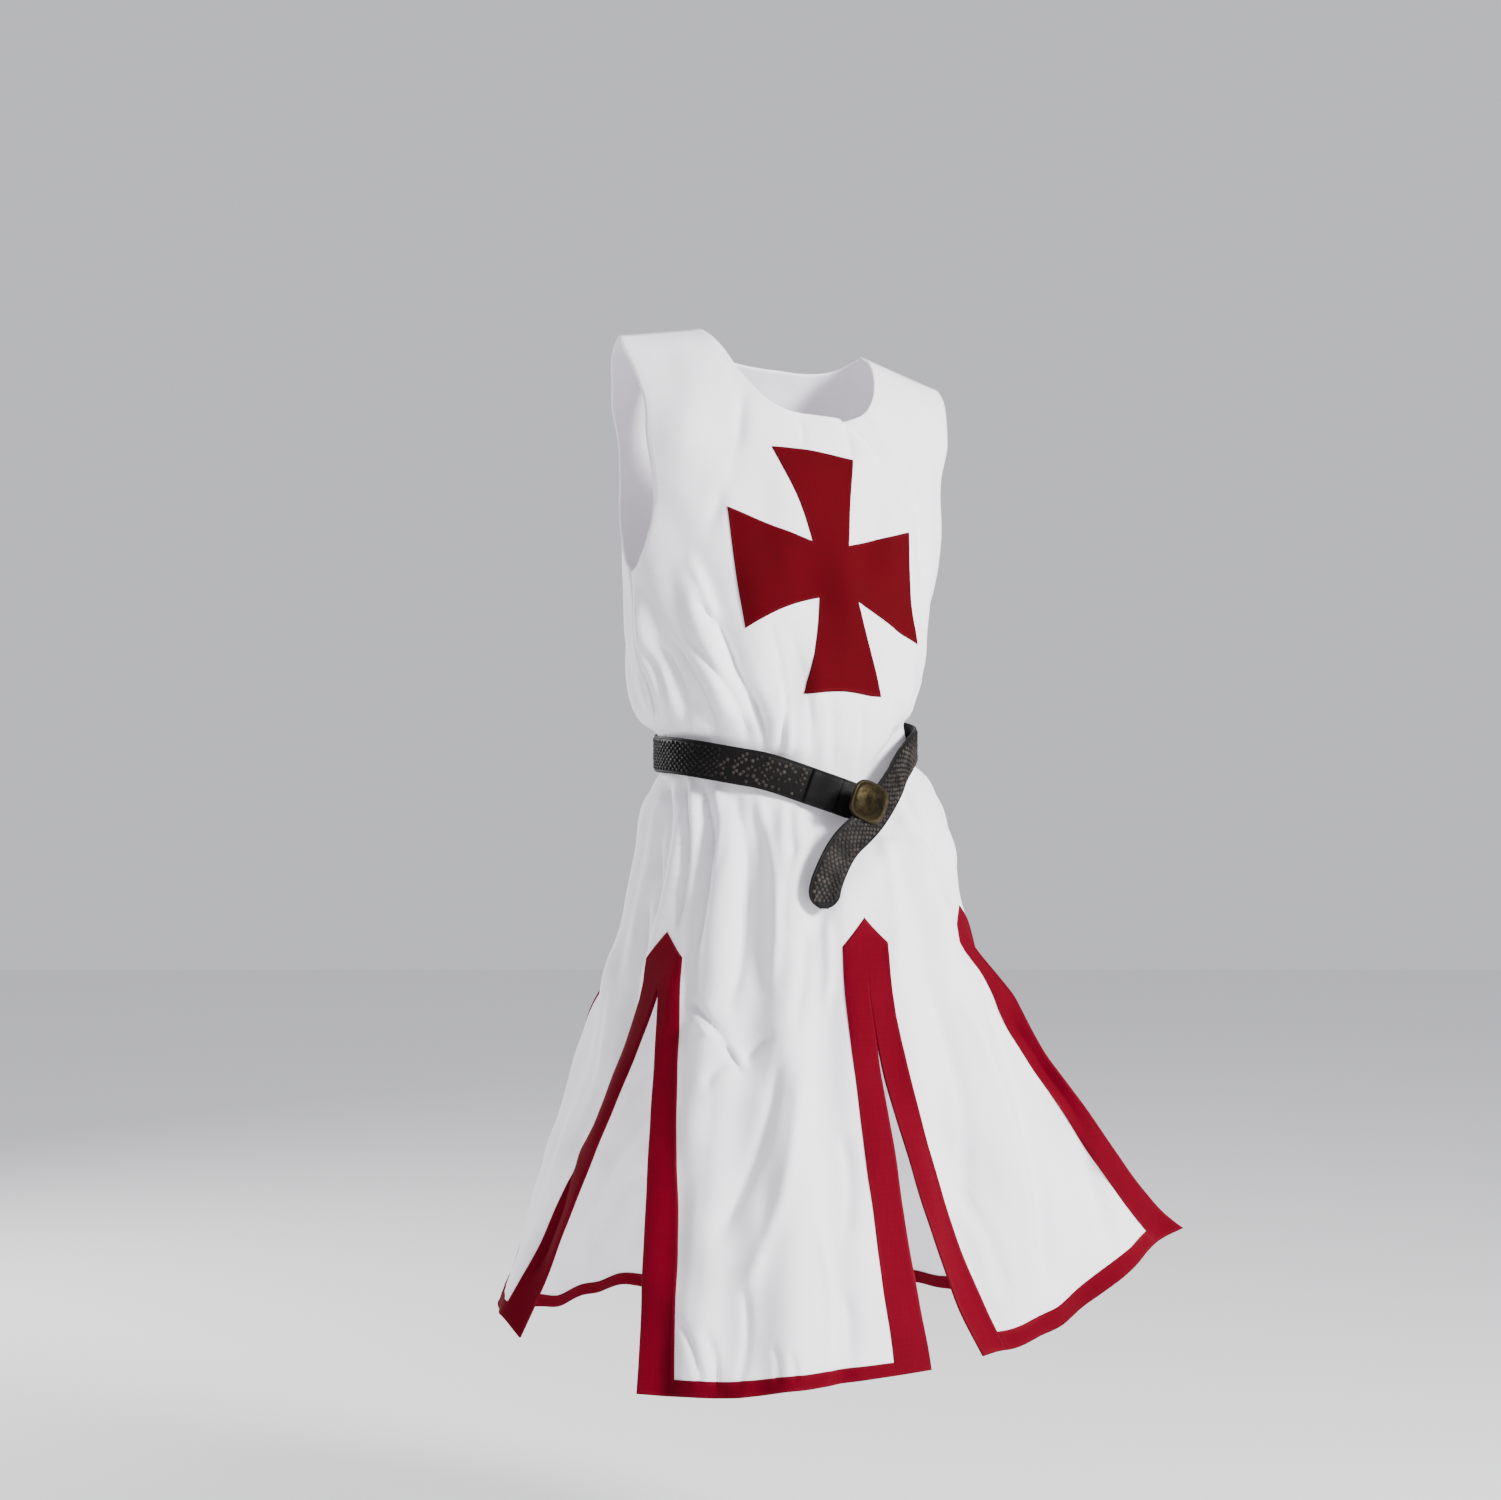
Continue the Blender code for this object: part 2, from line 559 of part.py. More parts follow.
class Cloth:
    """The whole cloth as one triangle mesh, with each triangle's strip, row and column known."""

    def __init__(self, strips):
        self.strips = strips
        self.slit_row = int(np.argmin(np.abs(strips["back"].z[:, 0] - (APEX_Z - GABLE_REACH))))
        self.side_row = int(np.argmin(np.abs(strips["back"].z[:, 0] - FREE_SIDE)))
        self.apex_row = int(np.argmin(np.abs(strips["back"].z[:, 0] - APEX_Z)))
        self.underarm_row = int(np.argmin(np.abs(strips["back"].z[:, 0] - UNDERARM_Z)))
        self.points, self.flat, self.ids = [], [], {}
        for name, strip in strips.items():
            self.add_points(name, strip)
        self.points = np.array(self.points)
        self.flat = np.array(self.flat)
        self.triangles, self.labels = [], []
        for name, strip in strips.items():
            self.add_triangles(name, strip)
        self.triangles = np.array(self.triangles)
        self.normals = vertex_normals(self.points, self.triangles)

    def shared(self, name, i, j):
        """The place in a neighbouring strip that this grid point shares, or None."""
        last = self.strips[name].z.shape[1] - 1
        if name == "centre" and j == 0 and i <= self.slit_row:
            return ("right", i, FRONT_LAST - SLIT_COLUMN)
        if name == "left" and j == 0 and i <= self.slit_row:
            return ("centre", i, 2 * SLIT_COLUMN)
        if name != "back":
            return None
        if i == 0 and abs(j - BACK_LAST) >= BACK_LAST - SHOULDER_STEPS:
            from_side = min(j, last - j)
            if j < BACK_LAST:
                return ("left", 0, FRONT_LAST - SLIT_COLUMN - from_side)
            return ("right", 0, from_side)
        if self.underarm_row <= i <= self.side_row:
            if j == 0:
                return ("left", i, FRONT_LAST - SLIT_COLUMN)
            if j == last:
                return ("right", i, 0)
        return None

    def add_points(self, name, strip):
        """Adds a strip's points, joined to its neighbours above the slits."""
        for i in range(strip.z.shape[0]):
            for j in range(strip.z.shape[1]):
                twin = self.shared(name, i, j)
                if twin is not None:
                    self.ids[name, i, j] = self.ids[twin]
                    continue
                self.ids[name, i, j] = len(self.points)
                self.points.append(strip.points[i, j])
                self.flat.append((strip.s[i, j], strip.z[i, j]))

    def add_triangles(self, name, strip):
        """Adds a strip's triangles. Each label says its strip, row, column and which half it is."""
        rows, columns = strip.z.shape
        for i in range(rows - 1):
            for j in range(columns - 1):
                a, b = self.ids[name, i, j], self.ids[name, i, j + 1]
                c, d = self.ids[name, i + 1, j + 1], self.ids[name, i + 1, j]
                if j < columns / 2:
                    # Cut from the lower left to the upper right, as a gable's right slope falls
                    halves = (((a, d, c), "low"), ((a, c, b), "high"))
                else:
                    halves = (((d, c, b), "low"), ((d, b, a), "high"))
                for corners, half in halves:
                    self.triangles.append(corners)
                    self.labels.append((name, i, j, half))

    def pick(self, wanted):
        """Triangles whose label passes the test."""
        return self.triangles[[wanted(*label) for label in self.labels]]


def vertex_normals(points, triangles):
    """Outward unit normal of each point, averaged over its triangles."""
    a, b, c = (points[triangles[:, k]] for k in range(3))
    face = np.cross(b - a, c - a)
    total = np.zeros_like(points)
    for k in range(3):
        np.add.at(total, triangles[:, k], face)
    size = np.linalg.norm(total, axis=1, keepdims=True)
    return total / np.maximum(size, 1e-12)


def border(triangles):
    """Directed edges that only one triangle has, with the cloth on their left."""
    edges = {}
    for a, b, c in triangles:
        for edge in ((a, b), (b, c), (c, a)):
            edges[edge] = True
    return [edge for edge in edges if (edge[1], edge[0]) not in edges]


def inset(points, normals, triangles, distance):
    """Moves the border of a patch inwards along the cloth, to leave its share of a seam."""
    moved = points.copy()
    pulls = {}
    for a, b in border(triangles):
        along = points[b] - points[a]
        along = along / np.linalg.norm(along)
        for vertex in (a, b):
            inward = np.cross(normals[vertex], along)
            pulls.setdefault(vertex, []).append(inward / np.linalg.norm(inward))
    for vertex, pull in pulls.items():
        total = np.sum(pull, axis=0)
        size = np.linalg.norm(total)
        if size > 1e-6:
            meet = max(0.5, size / len(pull))
            moved[vertex] += total / size * distance / meet
    return moved


def wall_mesh(name, points, normals, triangles, low, high, gap=SEAM_GAP / 2):
    """Closed wall from a patch of the cloth, between two distances out from its middle surface."""
    used = np.unique(triangles)
    number = {old: new for new, old in enumerate(used)}
    moved = inset(points, normals, triangles, gap)
    mesh = bmesh.new()
    outer = [mesh.verts.new(moved[v] + normals[v] * high) for v in used]
    inner = [mesh.verts.new(moved[v] + normals[v] * low) for v in used]
    for triangle in triangles:
        mesh.faces.new([outer[number[v]] for v in triangle])
        mesh.faces.new([inner[number[v]] for v in reversed(triangle)])
    for a, b in border(triangles):
        near, far = number[a], number[b]
        # The same diagonal on both sides of a seam keeps its gap even
        low_end, high_end = (outer[near], inner[far]) if a < b else (outer[far], inner[near])
        mesh.faces.new([outer[far], outer[near], high_end if a < b else inner[near]])
        mesh.faces.new([low_end, inner[near], inner[far]])
    return add_object(name, mesh)


def add_object(name, mesh):
    """Puts a finished bmesh in the scene as a named object."""
    data = bpy.data.meshes.new(name)
    mesh.to_mesh(data)
    mesh.free()
    made = bpy.data.objects.new(name, data)
    bpy.context.scene.collection.objects.link(made)
    return made


def finish(obj, material):
    """Gives an object its material and soft shading."""
    obj.data.materials.append(material)
    obj.data.shade_smooth()
    obj.data.set_sharp_from_angle(angle=math.radians(40))
    return obj


def material(name, colour, roughness, metallic=0.0):
    """A Principled material."""
    made = bpy.data.materials.new(name)
    made.use_nodes = True
    shader = made.node_tree.nodes["Principled BSDF"]
    shader.inputs["Base Color"].default_value = (*colour, 1.0)
    shader.inputs["Roughness"].default_value = roughness
    shader.inputs["Metallic"].default_value = metallic
    return made


def gable_part(row, column_from_slit, half, apex_row):
    """Whether a triangle lies under the gable, by its rows below the apex and columns from the slit."""
    down = row - apex_row
    if down < 0 or column_from_slit > 1:
        return False
    if down > column_from_slit:
        return True
    return down == column_from_slit and half == "low"


def in_facing(cloth, name, i, j, half, strip, side):
    """Whether a triangle belongs to the facing at one side edge of a strip."""
    if name != strip:
        return False
    last = cloth.strips[strip].z.shape[1] - 2
    from_slit = j if side == "first" else last - j
    return gable_part(i, from_slit, half, cloth.apex_row)


def build_facings(cloth, red):
    """Gabled facings round the two front slits and the two side slits, a node each."""
    edges = {
        "slit_facing_right": (("right", "last"), ("centre", "first")),
        "slit_facing_left": (("centre", "last"), ("left", "first")),
        "side_facing_left": (("left", "last"), ("back", "first")),
        "side_facing_right": (("back", "last"), ("right", "first")),
    }
    low = CLOTH_WALL / 2 + LIE_GAP
    for name, sides in edges.items():
        picked = cloth.pick(
            lambda strip, i, j, half, sides=sides: any(
                in_facing(cloth, strip, i, j, half, *side) for side in sides
            )
        )
        obj = wall_mesh(name, cloth.points, cloth.normals, picked, low, low + TRIM_WALL)
        finish(obj, red)


def build_hem_bands(cloth, red):
    """Bands along the hem between the facings, outside on every tongue and turned up inside the back."""
    low = CLOTH_WALL / 2 + LIE_GAP
    bands = {"hem_band_right": "right", "hem_band_centre": "centre", "hem_band_left": "left"}
    bands["hem_band_back"] = "back"
    for name, strip in bands.items():
        picked = cloth.pick(hem_test(cloth, strip))
        obj = wall_mesh(name, cloth.points, cloth.normals, picked, low, low + TRIM_WALL)
        finish(obj, red)
    picked = cloth.pick(hem_test(cloth, "back"))
    obj = wall_mesh("hem_turn_up_back", cloth.points, cloth.normals, picked, -low - TRIM_WALL, -low)
    finish(obj, red)


def hem_test(cloth, strip):
    """Test for the triangles of a strip's last row that no facing covers."""
    last_row = cloth.strips[strip].z.shape[0] - 2
    last = cloth.strips[strip].z.shape[1] - 2

    def wanted(name, i, j, half):
        return name == strip and i == last_row and 2 <= j <= last - 2

    return wanted


def cross_parts():
    """The cross as convex parts: four flared arms and the square where they meet."""
    w, h = CROSS_HALF_WIDTH, CROSS_HALF_HEIGHT
    a, p = CROSS_ARM_ROOT, CROSS_POST_ROOT
    upper = [(p, a), (CROSS_POST_END, h), (-CROSS_POST_END, h), (-p, a)]
    side = [(p, -a), (w, -CROSS_ARM_LOWER), (w, CROSS_ARM_UPPER), (p, a)]
    middle = [(-p, -a), (p, -a), (p, a), (-p, a)]
    lower = [(-x, -y) for x, y in upper]
    other = [(-x, y) for x, y in side[::-1]]
    parts = [upper, side, lower, other, middle]
    return [np.array([(CROSS_S + x, CROSS_Z + y) for x, y in part]) for part in parts]


def clip(polygon, part):
    """The piece of a polygon inside a convex part, both running anticlockwise. Points are (s, z, ...)."""
    for k in range(len(part)):
        start, end = part[k], part[(k + 1) % len(part)]
        edge = end - start
        inside = [edge[0] * (p[1] - start[1]) - edge[1] * (p[0] - start[0]) for p in polygon]
        kept = []
        for m in range(len(polygon)):
            n = (m + 1) % len(polygon)
            if inside[m] >= 0:
                kept.append(polygon[m])
            if (inside[m] > 0) != (inside[n] > 0) and abs(inside[m] - inside[n]) > 1e-15:
                t = inside[m] / (inside[m] - inside[n])
                kept.append(polygon[m] + t * (polygon[n] - polygon[m]))
        polygon = kept
        if len(polygon) < 3:
            return []
    return polygon


def build_cross(cloth, red):
    """The chest cross, cut from the front's own triangles and laid on them."""
    known, points, normals, faces = {}, [], [], []
    reach = CROSS_HALF_HEIGHT + 0.03
    for triangle, label in zip(cloth.triangles, cloth.labels):
        flat = cloth.flat[triangle]
        if label[0] == "back" or np.abs(flat[:, 1] - CROSS_Z).max() > reach + 0.02:
            continue
        corners = np.hstack([flat, cloth.points[triangle], cloth.normals[triangle]])
        for part in cross_parts():
            polygon = clip(list(corners), part)
            loop = []
            for corner in polygon:
                key = (round(corner[0] * 1e5), round(corner[1] * 1e5))
                if key not in known:
                    known[key] = len(points)
                    points.append(corner[2:5])
                    normals.append(corner[5:8])
                if not loop or loop[-1] != known[key]:
                    loop.append(known[key])
            if len(loop) > 2 and loop[0] == loop[-1]:
                loop.pop()
            for k in range(1, len(loop) - 1):
                faces.append((loop[0], loop[k], loop[k + 1]))
    points, normals = np.array(points), np.array(normals)
    low = CLOTH_WALL / 2 + LIE_GAP
    obj = wall_mesh("chest_cross", points, normals, np.array(faces), low, low + TRIM_WALL, gap=0)
    return finish(obj, red)


def cloth_tree(cloth):
    """Search tree of the cloth's outer surface."""
    outside = cloth.points + cloth.normals * CLOTH_WALL / 2
    return BVHTree.FromPolygons(outside.tolist(), cloth.triangles.tolist())


def cloth_radius(tree, angle, z):
    """Distance from the waist's centre to the outermost cloth, at an angle in degrees and a level."""
    turn = math.radians(angle)
    ray = Vector((math.sin(turn), -math.cos(turn), 0.0))
    start = Vector((*BELT_CENTRE, z))
    far, reach = 0.0, 0.0
    while reach < 0.4:
        hit = tree.ray_cast(start + ray * (reach + 1e-5), ray, 0.4)
        if hit[0] is None:
            break
        reach += hit[3] + 1e-5
        far = reach
    return far


def waist_point(angle, z, radius):
    """Point at an angle in degrees, a level and a distance from the waist's centre."""
    turn = math.radians(angle)
    x = BELT_CENTRE[0] + radius * math.sin(turn)
    y = BELT_CENTRE[1] - radius * math.cos(turn)
    return np.array([x, y, z])


def path_points(rows, step):
    """Angles, levels and lifts at even steps along a table of the strap's path."""
    rows = np.array(rows)
    around = np.radians(rows[:, 0]) * 0.125
    run = np.concatenate([[0], np.cumsum(np.hypot(np.diff(around), np.diff(rows[:, 1])))])
    at = np.linspace(0, run[-1], max(3, round(run[-1] / step) + 1))
    return [smooth(at, run, rows[:, k]) for k in range(3)]


def spread(values, reach):
    """Smoothed upper envelope of values, over reach neighbours to each side."""
    padded = np.pad(values, reach, mode="edge")
    window = 2 * reach + 1
    top = np.array([padded[k : k + window].max() for k in range(len(values))])
    padded = np.pad(top, reach, mode="edge")
    return np.array([padded[k : k + window].mean() for k in range(len(values))])


def strap_frames(tree, rows, step, half):
    """Middle points, outward directions and width directions along a strap that rests on the cloth."""
    angle, z, lift = path_points(rows, step)
    radius = []
    for a, level in zip(angle, z):
        near = [cloth_radius(tree, a + side * 6, level + up * half) for side in (-1, 0, 1) for up in (-1, 0, 1)]
        radius.append(max(near))
    radius = spread(np.array(radius), 2) + LIE_GAP + lift
    middle = np.array([waist_point(*row) for row in zip(angle, z, radius)])
    along = np.gradient(middle, axis=0)
    along /= np.linalg.norm(along, axis=1, keepdims=True)
    turn = np.radians(angle)
    outward = np.stack([np.sin(turn), -np.cos(turn), np.zeros_like(turn)], axis=1)
    outward -= along * np.sum(along * outward, axis=1, keepdims=True)
    outward /= np.linalg.norm(outward, axis=1, keepdims=True)
    return middle, outward, np.cross(outward, along)


def strap_mesh(name, frames, halves, low, high):
    """Closed strap from its frames: halves is the half width at each, low and high the distances out."""
    middle, outward, across = frames
    mesh = bmesh.new()
    loops = []
    for m, n, w, half in zip(middle, outward, across, halves):
        corners = [(-half, low), (0.0, low), (half, low), (half, high), (0.0, high), (-half, high)]
        loops.append([mesh.verts.new(m + w * u + n * out) for u, out in corners])
    for first, second in zip(loops, loops[1:]):
        for k in range(6):
            mesh.faces.new([first[k], first[(k + 1) % 6], second[(k + 1) % 6], second[k]])
    mesh.faces.new(loops[0][::-1])
    mesh.faces.new(loops[-1])
    bmesh.ops.triangulate(mesh, faces=mesh.faces[:])
    bmesh.ops.recalc_face_normals(mesh, faces=mesh.faces[:])
    return add_object(name, mesh)


def tip_halves(middle):
    """Half width of the strap along its length, narrower down the tail and rounded at its free tip."""
    run = np.concatenate([[0], np.cumsum(np.linalg.norm(np.diff(middle, axis=0), axis=1))])
    left = np.clip((run[-1] - run) / TIP_LENGTH, 0.0, 1.0)
    width = TAIL_WIDTH + (BELT_WIDTH - TAIL_WIDTH) * ease((run[-1] - run) / TAIL_LENGTH - 0.4)
    return width / 2 * np.maximum(np.sqrt(1 - (1 - left) ** 2), 0.28)


def add_tip(frames):
    """Adds closer frames over the rounded tip, so that it curves evenly."""
    middle, outward, across = frames
    run = np.concatenate([[0], np.cumsum(np.linalg.norm(np.diff(middle, axis=0), axis=1))])
    body = run[run < run[-1] - TIP_LENGTH]
    tip = run[-1] - TIP_LENGTH * (1 - np.sin(np.linspace(0, math.pi / 2, 7)))
    at = np.concatenate([body, tip])
    return [np.stack([np.interp(at, run, part[:, k]) for k in range(3)], axis=1) for part in frames]


def build_belt(cloth, leather, bronze):
    """The strap round the waist, its turned end and the clasp plate with its stud."""
    tree = cloth_tree(cloth)
    frames = add_tip(strap_frames(tree, STRAP_PATH, BELT_STEP, BELT_WIDTH / 2))
    strap = strap_mesh("belt_strap", frames, tip_halves(frames[0]), 0.0, BELT_THICK)
    finish(strap, leather)
    middle, outward, across = frames
    angle = np.degrees(np.arctan2(middle[:, 0] - BELT_CENTRE[0], BELT_CENTRE[1] - middle[:, 1]))
    first = np.arange(len(angle)) < len(angle) // 3
    tab = [k for k in np.flatnonzero(first) if TAB_ANGLES[0] - 4 < angle[k] < TAB_ANGLES[1] + 4]
    order = sorted(tab, key=lambda k: angle[k])
    at = np.linspace(*TAB_ANGLES, 6)
    piece = [
        np.stack([np.interp(at, angle[order], part[order, k]) for k in range(3)], axis=1)
        for part in frames
    ]
    base = BELT_THICK + LIE_GAP
    half = np.full(len(at), BELT_WIDTH / 2 - 0.0004)
    finish(strap_mesh("belt_turned_end", piece, half, base, base + TAB_THICK), leather)
    base, outward = build_clasp(strap, bronze)
    build_stud(strap, base, outward, bronze)


def build_stud(strap, base, outward, bronze):
    """The stud between the strap and the back of the clasp plate, on the plate's axis."""
    solid = BVHTree.FromObject(strap, bpy.context.evaluated_depsgraph_get())
    turn = Vector((0.0, 0.0, 1.0)).rotation_difference(Vector(outward)).to_matrix().to_4x4()
    depths = []
    for k in range(STUD_SIDES):
        angle = 2 * math.pi * k / STUD_SIDES
        rim = turn @ Vector((STUD_RADIUS * math.cos(angle), STUD_RADIUS * math.sin(angle), 0.0))
        hit = solid.ray_cast(Vector(base) + rim, Vector(-outward), 0.05)
        depths.append(hit[3] if hit[0] is not None else 0.0)
    depth = min(depths)
    if depth < 4 * LIE_GAP:
        return
    mesh = bmesh.new()
    bmesh.ops.create_cone(
        mesh,
        cap_ends=True,
        cap_tris=True,
        segments=STUD_SIDES,
        radius1=STUD_RADIUS,
        radius2=STUD_RADIUS,
        depth=depth - 2 * LIE_GAP,
        matrix=Matrix.Translation(Vector(base) - Vector(outward) * depth / 2) @ turn,
    )
    finish(add_object("clasp_stud", mesh), bronze)


def build_clasp(strap, bronze):
    """The domed clasp plate over the place where the strap crosses itself."""
    turn = math.radians(PLATE_TURN)
    outward = np.array([math.sin(turn), -math.cos(turn), 0.0])
    level = np.cross(np.array([0.0, 0.0, 1.0]), outward)
    lean = math.radians(PLATE_TILT)
    right = level * math.cos(lean) - np.array([0.0, 0.0, math.sin(lean)])
    up = np.cross(outward, right)
    corners = np.array([v.co for v in strap.data.vertices])
    off = corners - np.array([PLATE_X, BELT_CENTRE[1] - 0.11, PLATE_Z])
    reach = PLATE_HALF[0] + 0.012
    near = (np.abs(off @ right) < reach) & (np.abs(off @ up) < reach) & (np.abs(off @ outward) < 0.05)
    rest = (corners[near] @ outward).max() + LIE_GAP
    base = np.array([PLATE_X, (rest - PLATE_X * outward[0]) / outward[1], PLATE_Z])
    mesh = bmesh.new()
    turns = np.linspace(0, 2 * math.pi, 28, endpoint=False)
    size = (np.abs(np.cos(turns)) ** PLATE_SQUARENESS + np.abs(np.sin(turns)) ** PLATE_SQUARENESS) ** (
        -1 / PLATE_SQUARENESS
    )
    top = mesh.verts.new(base + outward * PLATE_PROFILE[0][1])
    bottom = mesh.verts.new(base)
    rings = []
    for share, height in [*PLATE_PROFILE[1:], (1.0, 0.0)]:
        spokes = zip(np.cos(turns) * size, np.sin(turns) * size)
        across, tall = right * PLATE_HALF[0] * share, up * PLATE_HALF[1] * share
        ring = [base + u * across + v * tall + outward * height for u, v in spokes]
        rings.append([mesh.verts.new(point) for point in ring])
    count = len(turns)
    for k in range(count):
        n = (k + 1) % count
        mesh.faces.new([top, rings[0][k], rings[0][n]])
        mesh.faces.new([bottom, rings[-1][n], rings[-1][k]])
        for outer, inner in zip(rings[1:], rings):
            mesh.faces.new([inner[k], outer[k], outer[n], inner[n]])
    bmesh.ops.triangulate(mesh, faces=mesh.faces[:])
    bmesh.ops.recalc_face_normals(mesh, faces=mesh.faces[:])
    finish(add_object("clasp_plate", mesh), bronze)
    return base, outward


def main():
    """Builds every piece of the tabard."""
    for obj in list(bpy.data.objects):
        bpy.data.objects.remove(obj, do_unlink=True)
    white = material("white_cloth", (0.87, 0.86, 0.88), 0.75)
    red = material("red_cloth", (0.36, 0.004, 0.02), 0.8)
    leather = material("belt_leather", (0.035, 0.026, 0.024), 0.5)
    bronze = material("aged_bronze", (0.23, 0.17, 0.09), 0.42, 1.0)
    cloth = Cloth(build_strips())
    half = CLOTH_WALL / 2
    front = cloth.pick(lambda name, i, j, part: name != "back")
    finish(wall_mesh("front_panel", cloth.points, cloth.normals, front, -half, half), white)
    back = cloth.pick(lambda name, i, j, part: name == "back")
    finish(wall_mesh("back_panel", cloth.points, cloth.normals, back, -half, half), white)
    build_cross(cloth, red)
    build_facings(cloth, red)
    build_hem_bands(cloth, red)
    build_belt(cloth, leather, bronze)


if __name__ == "__main__":
    main()
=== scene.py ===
"""Looks of a knee-length tabard: white cloth with red gabled facings and a chest cross, gathered by a belt.

The cloth hangs by the same cut as its solids, on the same cross sections, with finer folds laid one by one.
Metres, +Z up, the front towards -Y, the wearer's left at +X.
"""

from __future__ import annotations

import logging
import math
from dataclasses import dataclass, field
from enum import Enum
from typing import Iterable, Sequence

import bpy
import numpy as np
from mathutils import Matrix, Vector
from mathutils.bvhtree import BVHTree
from mathutils.kdtree import KDTree

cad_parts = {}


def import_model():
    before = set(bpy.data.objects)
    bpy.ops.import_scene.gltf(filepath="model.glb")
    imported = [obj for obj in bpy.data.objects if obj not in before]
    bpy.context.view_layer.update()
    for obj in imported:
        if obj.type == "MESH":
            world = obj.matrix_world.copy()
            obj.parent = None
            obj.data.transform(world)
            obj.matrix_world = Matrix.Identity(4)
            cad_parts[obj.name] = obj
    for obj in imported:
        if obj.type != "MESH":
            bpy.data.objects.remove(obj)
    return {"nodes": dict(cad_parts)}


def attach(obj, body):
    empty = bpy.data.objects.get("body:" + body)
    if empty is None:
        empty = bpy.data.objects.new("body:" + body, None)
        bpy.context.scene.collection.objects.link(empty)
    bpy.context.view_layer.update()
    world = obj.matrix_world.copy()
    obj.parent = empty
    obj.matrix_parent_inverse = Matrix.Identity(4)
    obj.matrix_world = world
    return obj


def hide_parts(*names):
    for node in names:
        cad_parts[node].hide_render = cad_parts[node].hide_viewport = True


Array = np.ndarray
# Points, outward directions and directions along a row
Rows = tuple[Array, Array, Array]
Socket = bpy.types.NodeSocket
Material = bpy.types.Material
Object = bpy.types.Object
LOG = logging.getLogger("tabard")
BODY = "root"
# Slack in comparisons of rows and levels
SLACK = 1e-6
# Nearness that stands for no edge close by
FAR = 9.0
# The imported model's nodes by name, filled in once they are loaded
NODES: dict[str, Object] = {}

# Cross sections of the worn cloth, as in the solids
SECTION_COLUMNS = ("z", "half", "front", "back", "cx", "cy", "yaw", "shift", "tilt", "follow")
SECTIONS = (
    (0, 0.198, 0, 0, -0.02, 0.012, 22, 0, 0.105, 0),
    (-0.01, 0.202, 0.028, 0.026, -0.02, 0.012, 22, 0, 0.105, 0),
    (-0.03, 0.206, 0.053, 0.048, -0.02, 0.012, 22, 0.002, 0.105, 0),
    (-0.07, 0.207, 0.082, 0.076, -0.02, 0.011, 23, 0.002, 0.105, 0),
    (-0.13, 0.199, 0.104, 0.1, -0.021, 0.01, 24, -0.007, 0.103, 0),
    (-0.2, 0.186, 0.12, 0.11, -0.022, 0.007, 25, 0, 0.096, 0),
    (-0.28, 0.175, 0.127, 0.112, -0.024, 0.005, 25, 0.012, 0.084, 0),
    (-0.35, 0.171, 0.128, 0.112, -0.027, 0.004, 24, 0.026, 0.04, 0),
    (-0.395, 0.16, 0.124, 0.11, -0.0275, 0.004, 21, 0.031, 0, 0.4),
    (-0.42, 0.147, 0.115, 0.104, -0.0255, 0.004, 16, 0.029, 0, 0.8),
    (-0.434, 0.134, 0.105, 0.097, -0.0215, 0.004, 12, 0.026, 0, 1),
    (-0.455, 0.133, 0.103, 0.095, -0.0175, 0.004, 6, 0.023, 0, 1),
    (-0.476, 0.137, 0.106, 0.097, -0.0145, 0.004, 1, 0.02, 0, 1),
    (-0.5, 0.154, 0.116, 0.108, -0.0125, 0.004, -4, 0.018, -0.015, 0.8),
    (-0.55, 0.171, 0.133, 0.128, -0.009, 0.004, -10, 0.012, -0.05, 0.3),
    (-0.622, 0.187, 0.15, 0.15, -0.011, 0.002, -13.5, 0, -0.085, 0),
    (-0.7, 0.207, 0.168, 0.172, -0.01, 0, -13, 0, -0.06, 0),
    (-0.85, 0.256, 0.206, 0.216, -0.006, 0, -12, 0, -0.03, 0),
    (-1.08, 0.332, 0.258, 0.282, 0, 0, -11.5, 0, 0, 0),
)

# Share of the quarter section that the cut is wide, from the shoulder to the underarm
ARMHOLE = (
    (0, 0.955), (-0.03, 0.86), (-0.08, 0.78), (-0.14, 0.755),
    (-0.2, 0.79), (-0.235, 0.845), (-0.256, 0.905), (-0.266, 0.955),
    (-0.27, 1),
)
# Half width of the centre tongue along the section, by level
SLIT_LINE = ((0.0, 0.095), (-0.280, 0.112), (-0.455, 0.098), (-0.622, 0.110), (-1.080, 0.147))
# Height of the belt round the waist, by the angle from the front towards the wearer's left
BELT_ROUTE = (
    (-180, -0.425), (-135, -0.434), (-90, -0.446), (-51, -0.45), (-21, -0.461),
    (13, -0.481), (30, -0.493), (43, -0.498), (54, -0.482), (62, -0.464),
    (75, -0.447), (100, -0.435), (135, -0.427), (180, -0.425),
)
